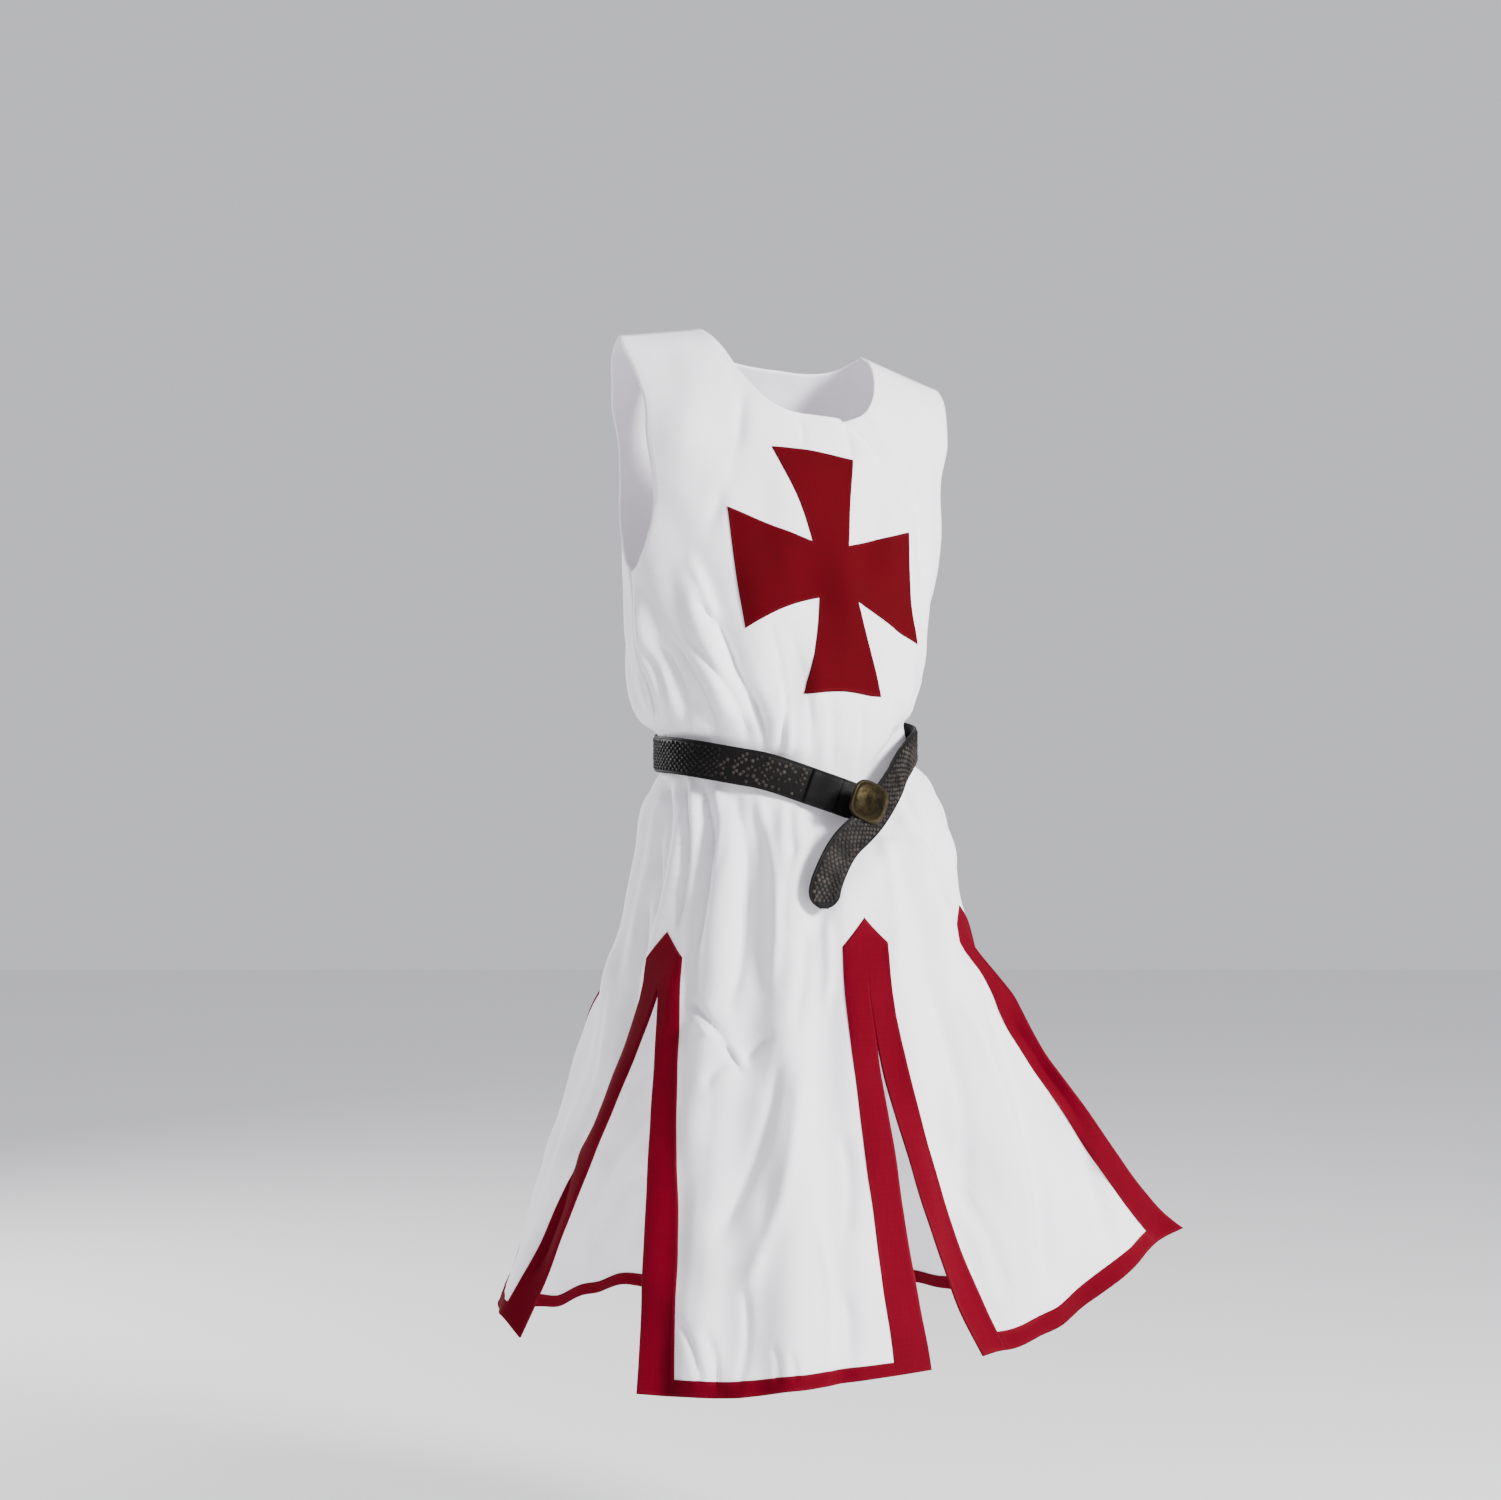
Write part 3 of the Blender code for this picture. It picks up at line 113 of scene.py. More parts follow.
# Where the hem of each tongue hangs: share along the hem, x, y and z
HEM_LINES = {
    "right": (
        (0, -0.332, 0.19, -1.056), (0.226, -0.331, 0.138, -1.054), (0.47, -0.33, 0.075, -1.052),
        (0.733, -0.328, 0.01, -1.051), (0.88, -0.324, -0.028, -1.05), (1, -0.303, -0.05, -1.07),
    ),
    "centre": (
        (0, -0.167, -0.235, -1.084), (0.22, -0.102, -0.262, -1.081), (0.36, -0.06, -0.272, -1.078),
        (0.54, -0.008, -0.272, -1.072), (0.73, 0.045, -0.257, -1.067), (1, 0.126, -0.205, -1.067),
    ),
    "left": (
        (0, 0.186, -0.15, -1.066), (0.118, 0.209, -0.122, -1.065), (0.266, 0.249, -0.105, -1.054),
        (0.444, 0.294, -0.08, -1.037), (0.668, 0.345, -0.05, -1.003), (0.879, 0.385, -0.006, -0.978),
        (1, 0.416, 0.006, -0.963),
    ),
    "back": (
        (0, 0.32, 0.115, -1.066), (0.14, 0.264, 0.203, -1.074), (0.328, 0.14, 0.268, -1.082),
        (0.523, 0, 0.29, -1.084), (0.66, -0.1, 0.288, -1.085), (0.77, -0.18, 0.28, -1.086),
        (0.859, -0.242, 0.262, -1.087), (0.935, -0.29, 0.238, -1.094), (1, -0.317, 0.22, -1.092),
    ),
}
# Main folds: angle and level of the upper end, of the lower end, half width and height, in degrees
# and millimetres
FOLDS = (
    (-80, -270, -70, -425, 24, -7), (-66, -240, -49, -425, 22, 5), (-60, -270, -34, -425, 22, -8),
    (-46, -220, -22, -425, 22, 5), (-38, -240, -12, -425, 22, -7), (-12, -320, -4, -425, 20, 4),
    (2, -300, 9, -425, 20, -6), (20, -360, 24, -425, 22, -4), (60, -80, 45, -260, 26, -5),
    (75, -250, 70, -425, 30, 6), (100, -220, 96, -425, 32, -8), (126, -180, 122, -425, 32, 8),
    (152, -160, 149, -425, 32, -8), (178, -140, 176, -425, 32, 9), (-156, -170, -157, -425, 32, -8),
    (-130, -190, -131, -425, 32, 8), (-104, -230, -102, -425, 30, -7), (-84, -486, -80, -800, 22, 6),
    (-68, -486, -66, -720, 20, -7), (-54, -486, -57, -600, 18, 5), (-38, -486, -37, -780, 20, -7),
    (-27, -486, -27, -900, 22, 5), (-12, -486, -14, -1080, 30, -8), (2, -486, 0, -1080, 30, 7),
    (14, -540, 11, -1080, 28, -7), (-30, -820, -27, -1080, 26, -7), (44, -520, 49, -1080, 34, -7),
    (58, -520, 62, -1080, 36, 8), (70, -520, 76, -1080, 36, -6), (-70, -720, -80, -1080, 36, -6),
    (-94, -640, -104, -1080, 40, 7), (112, -486, 118, -1080, 42, 10), (130, -486, 134, -1080, 42, -12),
    (148, -486, 150, -1080, 42, 13), (166, -486, 166, -1080, 42, -12), (-176, -486, -178, -1080, 42, 13),
    (-158, -486, -162, -1080, 42, -12), (-140, -486, -146, -1080, 42, 11), (-122, -486, -131, -1080, 40, -8),
)
FOLD_UNITS = np.array([1, 1000, 1, 1000, 1000, 1000])
# Creases of the front, as seen from the front: x and z of each end, half width and height, in millimetres
CREASES = (
    (-177, -350, -159, -413, 6, -3.2), (-164, -340, -141, -420, 6, -3.5),
    (-154, -334, -118, -427, 7, -3.8), (-140, -328, -88, -435, 7, -3.8),
    (-106, -294, -70, -358, 8, -3.8), (-70, -358, -38, -440, 7, -4.1),
    (-117, -329, -54, -437, 7, -2.9), (-32, -317, -21, -443, 7, -3.5),
    (-10, -329, 9, -449, 6, -2), (30, -393, 32, -460, 9, -2),
    (-49, -329, -12, -445, 6, 1.6), (8, -337, 21, -453, 6, 1.5),
    (64, -403, 60, -464, 7, -1.6), (98, -390, 93, -449, 7, -2),
    (83, -327, 88, -411, 9, 1.6), (33, -63, 54, -136, 8, -2.6),
    (52, -96, 112, -180, 8, -2.6), (72, -90, 127, -195, 8, 2),
    (-2, -93, 1, -124, 6, -1.2), (113, -142, 136, -253, 11, -3),
    (-117, -246, -91, -329, 10, 2), (-63, -76, -94, -204, 12, -2.4),
    (-147, -471, -156, -607, 6, -3.8), (-127, -469, -134, -616, 6, -4.3),
    (-107, -470, -111, -641, 6, -4.3), (-118, -475, -123, -600, 5, 2),
    (-90, -477, -94, -579, 7, 2.4), (-70, -495, -75, -700, 12, -3),
    (-46, -495, -32, -678, 11, 3), (-13, -528, -7, -717, 12, -2.6),
    (18, -598, 23, -699, 9, 2), (11, -495, 10, -588, 9, -1.8),
    (-119, -702, -69, -763, 7, -3.4), (-106, -726, -62, -761, 6, 2.6),
    (-62, -759, -32, -734, 6, -2.4), (-99, -785, -79, -761, 6, -2),
    (-26, -767, -88, -924, 15, -3.6), (-4, -776, -56, -970, 14, 3),
    (42, -837, 44, -926, 11, -2.6), (43, -989, 48, -1045, 7, -2.2),
    (-124, -1014, -104, -1065, 5, -2.2), (-98, -1022, -90, -1069, 5, -2),
    (-29, -1033, -27, -1063, 4, -1.8), (-13, -1040, -10, -1062, 4, -1.6),
    (-60, -980, -66, -1067, 9, -2.2), (16, -932, 21, -1062, 9, 1.8),
    (111, -496, 151, -606, 11, -3), (82, -533, 96, -665, 14, 2.8),
    (133, -687, 170, -907, 12, -2.6), (194, -697, 255, -998, 15, -4),
    (166, -714, 237, -1016, 12, 2.8), (223, -725, 332, -976, 16, -3.6),
    (253, -792, 342, -963, 10, 2.4), (162, -896, 209, -1013, 9, -2),
    (-170, -603, -232, -856, 9, -3), (-156, -550, -173, -671, 6, -2.4),
    (-196, -668, -259, -884, 8, 2), (-241, -860, -292, -999, 7, -2.2),
)
# Creases of the back in the same columns, the first ones seen from inside through the right-hand slit
BACK_CREASES = (
    (-223.6, -914, -171.5, -818, 11, 3.4), (-242.6, -1044, -173.9, -945, 12, 3.6),
    (-251, -985, -165, -870, 13, -2.6), (-190, -1055, -150, -990, 10, -2.2),
    (150, -420, 100, -300, 8, -2.6), (110, -415, 55, -270, 8, 2.2),
    (60, -412, 30, -300, 7, -2.4), (5, -410, -10, -290, 8, -2.6),
    (-45, -415, -70, -310, 7, 2), (-85, -420, -130, -300, 8, -2.6),
    (-120, -430, -155, -340, 7, -2.2), (120, -455, 150, -600, 8, -2.6),
    (80, -452, 96, -640, 9, 2.4), (30, -450, 36, -590, 8, -2.6),
    (-20, -450, -24, -660, 10, -2.8), (-70, -455, -90, -620, 8, 2.2),
    (-110, -458, -135, -640, 8, -2.6), (140, -760, 60, -900, 13, -2.8),
    (20, -800, -40, -960, 13, 2.6), (-80, -820, -60, -1000, 12, -2.6),
    (200, -900, 240, -1040, 10, -2.6), (100, -100, 30, -190, 12, -2.4),
    (-110, -90, -40, -200, 12, -2.4),
)
# Path of the strap's middle: angle round the waist, level and lift off the cloth
STRAP_PATH = (
    (41, -0.5027, 0), (29.6, -0.4933, 0), (21, -0.4864, 0), (13.2, -0.4807, 0),
    (-13.1, -0.4639, 0), (-21.2, -0.4608, 0), (-51, -0.4504, 0), (-90, -0.4457, 0),
    (-135, -0.434, 0), (-180, -0.425, 0), (-225, -0.427, 0), (-260, -0.4345, 0),
    (-285, -0.444, 0), (-298.2, -0.46, 0.0005), (-307, -0.48, 0.003), (-320.5, -0.508, 0.0038),
    (-329, -0.524, 0.0036), (-336.5, -0.54, 0.0015), (-342.5, -0.5635, 0.0008), (-346, -0.5873, 0.0008),
    (-346.5, -0.606, 0.0008),
)
# Middle line of the strap's hanging end on the cloth: x and z
TAIL_LINE = ((0.066, -0.497), (0.036, -0.530), (0.012, -0.566), (0.003, -0.612))


class Side(Enum):
    """Which face of the cloth a piece lies on."""

    OUTSIDE = 1
    INSIDE = -1


class Slot(Enum):
    """Material slots of the record."""

    WHITE = "white_cloth"
    RED = "red_cloth"
    LEATHER = "belt_leather"
    BRONZE = "aged_bronze"


def ease(t: Array | float) -> Array:
    """Smooth step from 0 to 1."""
    t = np.clip(t, 0.0, 1.0)
    return t * t * (3 - 2 * t)


def smooth(x: Array | float, xs: Array, ys: Array) -> Array:
    """Smooth curve through points that never swings past them.

    Args:
        x: Where the curve is read.
        xs: Rising positions of the points.
        ys: Values of the points.

    Returns:
        The curve's values at x.
    """
    x = np.clip(np.asarray(x, float), xs[0], xs[-1])
    h = np.diff(xs)
    d = np.diff(ys) / h
    slope = np.concatenate([[d[0]], (d[:-1] + d[1:]) / 2, [d[-1]]])
    flat = np.concatenate([[False], d[:-1] * d[1:] <= 0, [False]])
    slope[flat] = 0.0
    low = np.concatenate([[np.inf], np.minimum(np.abs(d[:-1]), np.abs(d[1:])) * 3, [np.inf]])
    slope = np.clip(slope, -low, low)
    i = np.clip(np.searchsorted(xs, x, side="right") - 1, 0, len(h) - 1)
    t = (x - xs[i]) / h[i]
    rise = ys[i + 1] - ys[i]
    return (
        ys[i]
        + rise * (3 * t**2 - 2 * t**3)
        + h[i] * slope[i] * (t**3 - 2 * t**2 + t)
        + h[i] * slope[i + 1] * (t**3 - t**2)
    )


def read_table(rows: Sequence[Sequence[float]], column: int, x: Array | float) -> Array:
    """A table's column as a smooth curve of its first column.

    Args:
        rows: The table.
        column: Which column holds the values.
        x: Where the curve is read.

    Returns:
        The values at x.
    """
    found = np.array(sorted(row for row in rows), float)
    return smooth(x, found[:, 0], found[:, column])


def section(name: str, z: Array | float) -> Array:
    """A named size of the cross section at level z."""
    return read_table(SECTIONS, SECTION_COLUMNS.index(name), z)


def unit(v: Array) -> Array:
    """Vectors scaled to length one, along the last axis."""
    return v / np.maximum(np.linalg.norm(v, axis=-1, keepdims=True), 1e-12)


def quads(number: Array) -> Array:
    """Faces of a grid of point numbers, whose rows run down and whose columns run to the wearer's left."""
    corners = [number[:-1, :-1], number[1:, :-1], number[1:, 1:], number[:-1, 1:]]
    return np.stack(corners, axis=-1).reshape(-1, 4)


def turned(faces: Array) -> Array:
    """The same faces seen from the other side, from the same first corner."""
    return np.roll(faces[:, ::-1], 1, axis=1)


def along_line(at: Array, run: Array, line: Array) -> Array:
    """Points of a line at running lengths."""
    return np.stack([np.interp(at, run, line[:, k]) for k in range(3)], axis=1)


def closed_quads(count: int, size: int) -> Array:
    """Faces of a tube: a number of rings with the same number of points each."""
    number = np.arange(count * size).reshape(count, size)
    return quads(np.concatenate([number, number[:, :1]], axis=1))


def edge_mark(near: Array) -> Array:
    """How strongly the finish rubs a place, from how near an edge is."""
    return np.clip(1 - near * 0.4, 0, 1)


def grid_normals(points: Array) -> Array:
    """Outward unit normals of a grid whose rows run down and whose columns run to the wearer's left."""
    return unit(np.cross(np.gradient(points, axis=0), np.gradient(points, axis=1)))


@dataclass
class Figure:
    """The general figure that holds the cloth up: its cross sections, unrolled and rolled again.

    Args:
        step: Distance between the levels that are worked out.
        ring_steps: Half the number of points round a section.
        shoulder_slope: How steeply the shoulders fall beyond the neck.
        neck_half: Half width of the neck opening.
        belt_centre: Middle of the waist.
        belt_z: Mean height of the belt.
        lowest: Level just below the hem, where the rings end.
        slope_end: Depth below the top where the shoulders' slope has faded out.
    """

    step: float = 0.002
    ring_steps: int = 180
    shoulder_slope: float = 0.24
    neck_half: float = 0.095
    belt_centre: tuple[float, float] = (-0.0175, 0.004)
    belt_z: float = -0.455
    lowest: float = -1.082
    slope_end: float = 0.24

    def __post_init__(self) -> None:
        """Works out the ring of every level once."""
        self.levels = np.arange(0.0, self.lowest - self.step, -self.step)
        self.rings = [self.ring(z) for z in self.levels]
        quarter = self.ring_steps + self.ring_steps // 2
        self.quarters = np.array([ring[2][quarter] for ring in self.rings])
        self.wholes = np.array([ring[2][-1] - ring[2][0] for ring in self.rings])

    def ring(self, z: float) -> tuple[Array, Array, Array]:
        """Across, along and running length round the section at level z."""
        angle = np.linspace(-math.pi, math.pi, 2 * self.ring_steps + 1)
        depth = np.where(np.cos(angle) >= 0, section("front", z), section("back", z)) + 1e-5
        radius = 1.0 / np.hypot(np.sin(angle) / section("half", z), np.cos(angle) / depth)
        across, along = radius * np.sin(angle), radius * np.cos(angle)
        run = np.concatenate([[0.0], np.cumsum(np.hypot(np.diff(across), np.diff(along)))])
        return across, along, run - run[self.ring_steps]

    def quarter(self, z: Array) -> Array:
        """Length along the section from the centre front to the side seam."""
        return np.interp(-z, -self.levels, self.quarters)

    def whole(self, z: Array) -> Array:
        """Length of the whole section."""
        return np.interp(-z, -self.levels, self.wholes)

    def belt_height(self, angle: Array) -> Array:
        """Height of the belt's middle at angles round the waist, in degrees."""
        return read_table(BELT_ROUTE, 1, angle)

    def around(self, points: Array) -> tuple[Array, Array]:
        """Angles in degrees and distances of points round the waist's middle."""
        x, y = points[..., 0] - self.belt_centre[0], self.belt_centre[1] - points[..., 1]
        return np.degrees(np.arctan2(x, y)), np.hypot(x, y)

    def place(self, s: Array, z: Array, from_back: bool = False) -> Array:
        """Points of the worn cloth without its folds.

        Args:
            s: Lengths along the section from the centre front, or from the centre back.
            z: Levels.
            from_back: Whether the lengths start at the centre back.

        Returns:
            Points with one more axis than s and z.
        """
        s, z = np.broadcast_arrays(np.asarray(s, float), np.asarray(z, float))
        shape = s.shape
        s, z = s.ravel(), z.ravel()
        spot = np.clip(-z / self.step, 0, len(self.levels) - 1.001)
        low = np.floor(spot).astype(int)
        share = spot - low
        shift = section("shift", z)
        order = np.argsort(low, kind="stable")
        starts = np.searchsorted(low[order], np.arange(len(self.levels) + 1))
        flat = np.zeros((2, len(s)))
        for k in range(len(self.levels) - 1):
            pick = order[starts[k] : starts[k + 1]]
            if not len(pick):
                continue
            for level, weight in ((k, 1 - share[pick]), (k + 1, share[pick])):
                across, along, length = self.rings[level]
                whole = length[-1] - length[0]
                at = s[pick] + shift[pick] + (whole / 2 if from_back else 0.0)
                at = (at - length[0]) % whole + length[0]
                flat[0, pick] += weight * np.interp(at, length, across)
                flat[1, pick] += weight * np.interp(at, length, along)
        u, v = flat
        yaw = np.radians(section("yaw", z))
        x = section("cx", z) + u * np.cos(yaw) + v * np.sin(yaw)
        y = section("cy", z) + u * np.sin(yaw) - v * np.cos(yaw)
        slope = self.shoulder_slope * (1 - ease(-z / self.slope_end))
        level = z - slope * np.maximum(0.0, np.abs(u) - self.neck_half) - section("tilt", z) * u
        angle, _ = self.around(np.stack([x, y], axis=-1))
        level = level + section("follow", z) * (self.belt_height(angle) - self.belt_z)
        return np.stack([x, y, level], axis=-1).reshape(*shape, 3)


@dataclass
class Folds:
    """Height of the folds over the smooth cloth: main folds, finer creases, gathers and a soft rumple.

    Args:
        figure: The figure, for angles round the waist.
        fade: Length over which a fold comes up.
        start: The same just below the belt.
        stop: The same just above the belt.
        apex_z: Level where the slits' gables start.
        hem_z: Level of the hem.
        belt_clear: Half height round the belt that stays as the solids are.
        rumple: Height of the soft rumple.
        gather: Height of the small pleats at the belt.
        gather_blend: Length over which they come up beside the belt.
        crease_gain: Factor on the height of the creases.
        crease_width: Factor on their width.
        crease_bow: Bend of a crease as a share of its length.
        crease_end: Longest fade at its ends.
        calm_middle: Middle of the cross, length and level.
        calm_reach: Half width and half height of the calm place round it.
        calm_share: Share of the finer folds left there.
        strap_blend: Length over which the finer folds come up beside the strap.
        tail_clear: Distance from the hanging end's middle that stays smooth.
        tail_blend: Length over which the finer folds come up beyond it.
        seed: Fixed seed of the soft rumple.
    """

    figure: Figure
    fade: float = 0.095
    start: float = 0.040
    stop: float = 0.034
    apex_z: float = -0.625
    hem_z: float = -1.080
    belt_clear: float = 0.021
    rumple: float = 0.0013
    gather: float = 0.0019
    gather_blend: float = 0.014
    crease_gain: float = 2.4
    crease_width: float = 0.80
    crease_bow: float = 0.06
    crease_end: float = 0.05
    calm_middle: tuple[float, float] = (-0.0035, -0.256)
    calm_reach: tuple[float, float] = (0.112, 0.128)
    calm_share: float = 0.25
    strap_blend: float = 0.016
    tail_clear: float = 0.016
    tail_blend: float = 0.014
    seed: int = 5

    def main(self, angle: Array, radius: Array, z: Array) -> Array:
        """Heights of the main folds, which the solids have too."""
        total = np.zeros_like(z)
        belt_z = self.figure.belt_z
        for angle_upper, z_upper, angle_lower, z_lower, half_width, height in np.array(FOLDS) / FOLD_UNITS:
            run = (z_upper - z) / (z_upper - z_lower)
            turn = (angle - angle_upper - (angle_lower - angle_upper) * run + 180) % 360 - 180
            off = np.radians(turn) * radius / half_width
            inside = (run > 0) & (run <= 1.0001) & (np.abs(off) < 1)
            below_belt = self.apex_z < z_upper < belt_z
            rise = ease((z_upper - z) / (self.start if below_belt else self.fade))
            fall = 1.0
            if z_lower > self.hem_z:
                fall = ease((z - z_lower) / (self.stop if z_lower > belt_z else self.fade))
            bump = height * np.cos(np.clip(off, -1, 1) * math.pi / 2) ** 2 * rise * fall
            total += np.where(inside, bump, 0.0)
        return total

    def creases(self, points: Array, rows: Sequence[Sequence[float]]) -> Array:
        """Heights of the finer creases, placed as seen from the front.

        Args:
            points: Points of the cloth.
            rows: The table of its creases.

        Returns:
            The heights.
        """
        total = np.zeros(points.shape[:-1])
        x, z = points[..., 0], points[..., 2]
        for x0, z0, x1, z1, half_width, height in np.array(rows) / 1000:
            length = math.hypot(x1 - x0, z1 - z0)
            dx, dz = (x1 - x0) / length, (z1 - z0) / length
            along = (x - x0) * dx + (z - z0) * dz
            bow = self.crease_bow * length * np.sin(np.clip(along / length, 0, 1) * math.pi)
            off = ((z - z0) * dx - (x - x0) * dz - bow) / (half_width * self.crease_width)
            end = min(0.35 * length, self.crease_end)
            swell = ease((along + end / 2) / end) * ease((length + end / 2 - along) / end)
            total += self.crease_gain * height * swell / (1 + off**2) ** 2
        return total

    def gathers(self, angle: Array, points: Array) -> Array:
        """Heights of the small pleats that the belt draws in, uneven all round."""
        drop = points[..., 2] - self.figure.belt_height(angle)
        reach = np.where(drop > 0, 0.045, 0.075)
        away = np.abs(drop) - self.belt_clear
        swell = ease(away / self.gather_blend) * np.exp(-np.maximum(away, 0) / reach * 1.6)
        phase = np.where(drop > 0, 0.9, 2.3)
        wave = np.sin(np.radians(angle) * 31 + phase + 1.7 * np.sin(np.radians(angle) * 5 + 0.8))
        second = np.sin(np.radians(angle) * 47 + 2.1 * np.sin(np.radians(angle) * 3) + phase)
        uneven = 0.55 + 0.45 * np.sin(np.radians(angle) * 7 + 1.3)
        return self.gather * swell * uneven * (wave + 0.5 * second)

    def soft(self, s: Array, z: Array) -> Array:
        """Heights of a broad soft rumple, from a fixed set of crossing waves."""
        rng = np.random.default_rng(self.seed)
        total = np.zeros_like(z)
        count = 26
        for _ in range(count):
            length = rng.uniform(0.032, 0.120)
            lean = rng.normal(0.0, 0.45)
            phase = rng.uniform(0, 2 * math.pi)
            wave = 2 * math.pi / length
            total += length * np.sin(wave * (math.cos(lean) * s + math.sin(lean) * z) + phase)
        return total * self.rumple / (0.076 * math.sqrt(count / 2))

    def calm(self, s: Array, z: Array) -> Array:
        """Share of the finer folds that is left under the stiffer cross."""
        u = np.abs(s - self.calm_middle[0]) / self.calm_reach[0]
        v = np.abs(z - self.calm_middle[1]) / self.calm_reach[1]
        away = ease((np.maximum(u, v) - 0.92) / 0.16)
        return self.calm_share + (1 - self.calm_share) * away

    def clear_of_belt(self, angle: Array, points: Array) -> Array:
        """Share of the finer folds, none where the strap and its hanging end lie on the cloth."""
        drop = np.abs(points[..., 2] - self.figure.belt_height(angle))
        strap = ease((drop - self.belt_clear) / self.strap_blend)
        x, z = points[..., 0], points[..., 2]
        near = np.full(x.shape, FAR)
        for (x0, z0), (x1, z1) in zip(TAIL_LINE, TAIL_LINE[1:]):
            length = math.hypot(x1 - x0, z1 - z0)
            t = np.clip(((x - x0) * (x1 - x0) + (z - z0) * (z1 - z0)) / length**2, 0, 1)
            near = np.minimum(near, np.hypot(x - x0 - t * (x1 - x0), z - z0 - t * (z1 - z0)))
        front = points[..., 1] < 0
        hanging = np.where(front, ease((near - self.tail_clear) / self.tail_blend), 1.0)
        return strap * hanging

    def height(self, points: Array, s: Array, z: Array, on_front: bool) -> Array:
        """All the folds together.

        Args:
            points: Points of the smooth cloth.
            s: Their lengths along the section.
            z: Their levels in the cut.
            on_front: Whether they belong to the front.

        Returns:
            Heights to add along the outward normals.
        """
        angle, radius = self.figure.around(points)
        fine = self.creases(points, CREASES if on_front else BACK_CREASES)
        if on_front:
            fine = fine * self.calm(s, z)
        fine = fine + self.gathers(angle, points) + self.soft(s + (0.0 if on_front else 2.0), z)
        return self.main(angle, radius, z) + fine * self.clear_of_belt(angle, points)


@dataclass
class Cut:
    """The cut of the cloth: its edges, rows and columns, numbered as main lines with finer ones between."""

    neck_half: float = 0.095
    neck_squareness: float = 4.0
    neck_blend: float = 0.15
    front_drop: float = 0.089
    back_drop: float = 0.022
    yoke_z: float = -0.145
    underarm_z: float = -0.270
    apex_z: float = -0.625
    gable_rise: float = 0.027
    gable_reach: float = 0.060
    hem_z: float = -1.080
    band_top: float = 0.0235
    band_hem: float = 0.0355
    centre_steps: int = 8
    side_steps: int = 6
    back_steps: int = 11
    shoulder_steps: int = 6
    yoke_rows: int = 5
    yoke_power: float = 1.25
    tongue_rows: int = 7

    def __post_init__(self) -> None:
        """Numbers the main rows and columns."""
        chest = np.linspace(self.yoke_z, -0.235, 4)
        body = np.linspace(self.underarm_z, -0.410, 6)[1:]
        hip = np.linspace(-0.490, self.apex_z, 5)[1:]
        gable = [self.apex_z - self.gable_rise / 2, self.apex_z - self.gable_rise]
        reach = [self.apex_z - (self.gable_rise + self.gable_reach) / 2, self.apex_z - self.gable_reach]
        waist = [-0.424, -0.434, -0.455, -0.476, -0.490]
        chest = [*chest, -0.256, -0.266, self.underarm_z]
        self.body_levels = np.array([*chest, *body, *waist, *hip, *gable, *reach])
        self.slit_row = self.yoke_rows + len(self.body_levels) - 1
        self.side_row = self.slit_row - 2
        self.apex_row = self.slit_row - 4
        self.underarm_row = self.yoke_rows + 6
        self.last_row = self.slit_row + self.tongue_rows + 1
        self.slit_column = self.centre_steps + 2
        self.front_last = self.slit_column + self.side_steps + 4
        self.back_last = self.back_steps + 2

    def neckline(self, drop: float, s: Array) -> Array:
        """Level of the neckline or shoulder line at distances from the centre."""
        return -drop * np.clip(1 - np.abs(s / self.neck_half) ** self.neck_squareness, 0, 1)

    def edge(self, drop: float, side: float, count: int) -> Array:
        """Distances of the main columns along the top edge."""
        s = np.linspace(0, self.neck_half, 241)
        run = np.concatenate([[0], np.cumsum(np.hypot(np.diff(s), np.diff(self.neckline(drop, s))))])
        neck = np.interp(np.linspace(0, run[-1], count - self.shoulder_steps + 1), run, s)
        return np.concatenate([neck, np.linspace(self.neck_half, side, self.shoulder_steps + 1)[1:]])

    def band(self, z: Array) -> Array:
        """Width of the facings at level z."""
        share = np.clip((self.apex_z - z) / (self.apex_z - self.hem_z), 0, 1)
        return self.band_top + (self.band_hem - self.band_top) * share

    def half(self, figure: Figure, z: Array) -> Array:
        """Half width of the front: armhole above the underarm, side seam below."""
        share = np.where(z <= self.underarm_z, 1.0, read_table(ARMHOLE, 1, z))
        return figure.quarter(z) * share

    def front_columns(self, figure: Figure, z: Array) -> Array:
        """Distances of the front's main columns from the centre front, by level."""
        slit, side, band = read_table(SLIT_LINE, 1, z), self.half(figure, z), self.band(z)
        centre = [(slit - band) * k / self.centre_steps for k in range(self.centre_steps + 1)]
        inner, outer = slit + band, side - band
        middle = [inner + (outer - inner) * k / self.side_steps for k in range(self.side_steps + 1)]
        return np.stack([*centre, slit - band / 2, slit, slit + band / 2, *middle, side - band / 2, side])

    def back_columns(self, figure: Figure, z: Array) -> Array:
        """Distances of the back's main columns from the centre back, by level."""
        low = figure.whole(z) / 2 - figure.quarter(z)
        side, band = np.where(z > self.underarm_z, self.half(figure, z), low), self.band(z)
        middle = [(side - band) * k / self.back_steps for k in range(self.back_steps + 1)]
        return np.stack([*middle, side - band / 2, side])

    def fine_rows(self, step: float) -> Array:
        """Row numbers from the top edge to the hem, close enough for a step in metres."""
        levels = [self.yoke_z * (k / self.yoke_rows) ** self.yoke_power for k in range(self.yoke_rows)]
        low = np.linspace(self.apex_z - self.gable_reach, self.hem_z + 0.016, self.tongue_rows + 1)[1:]
        levels = np.array([*levels, *self.body_levels, *low, self.hem_z])
        rows: list[float] = []
        for k, gap in enumerate(-np.diff(levels)):
            count = max(1, round(gap / step))
            rows += [k + n / count for n in range(count)]
        return np.array([*rows, float(self.last_row)])


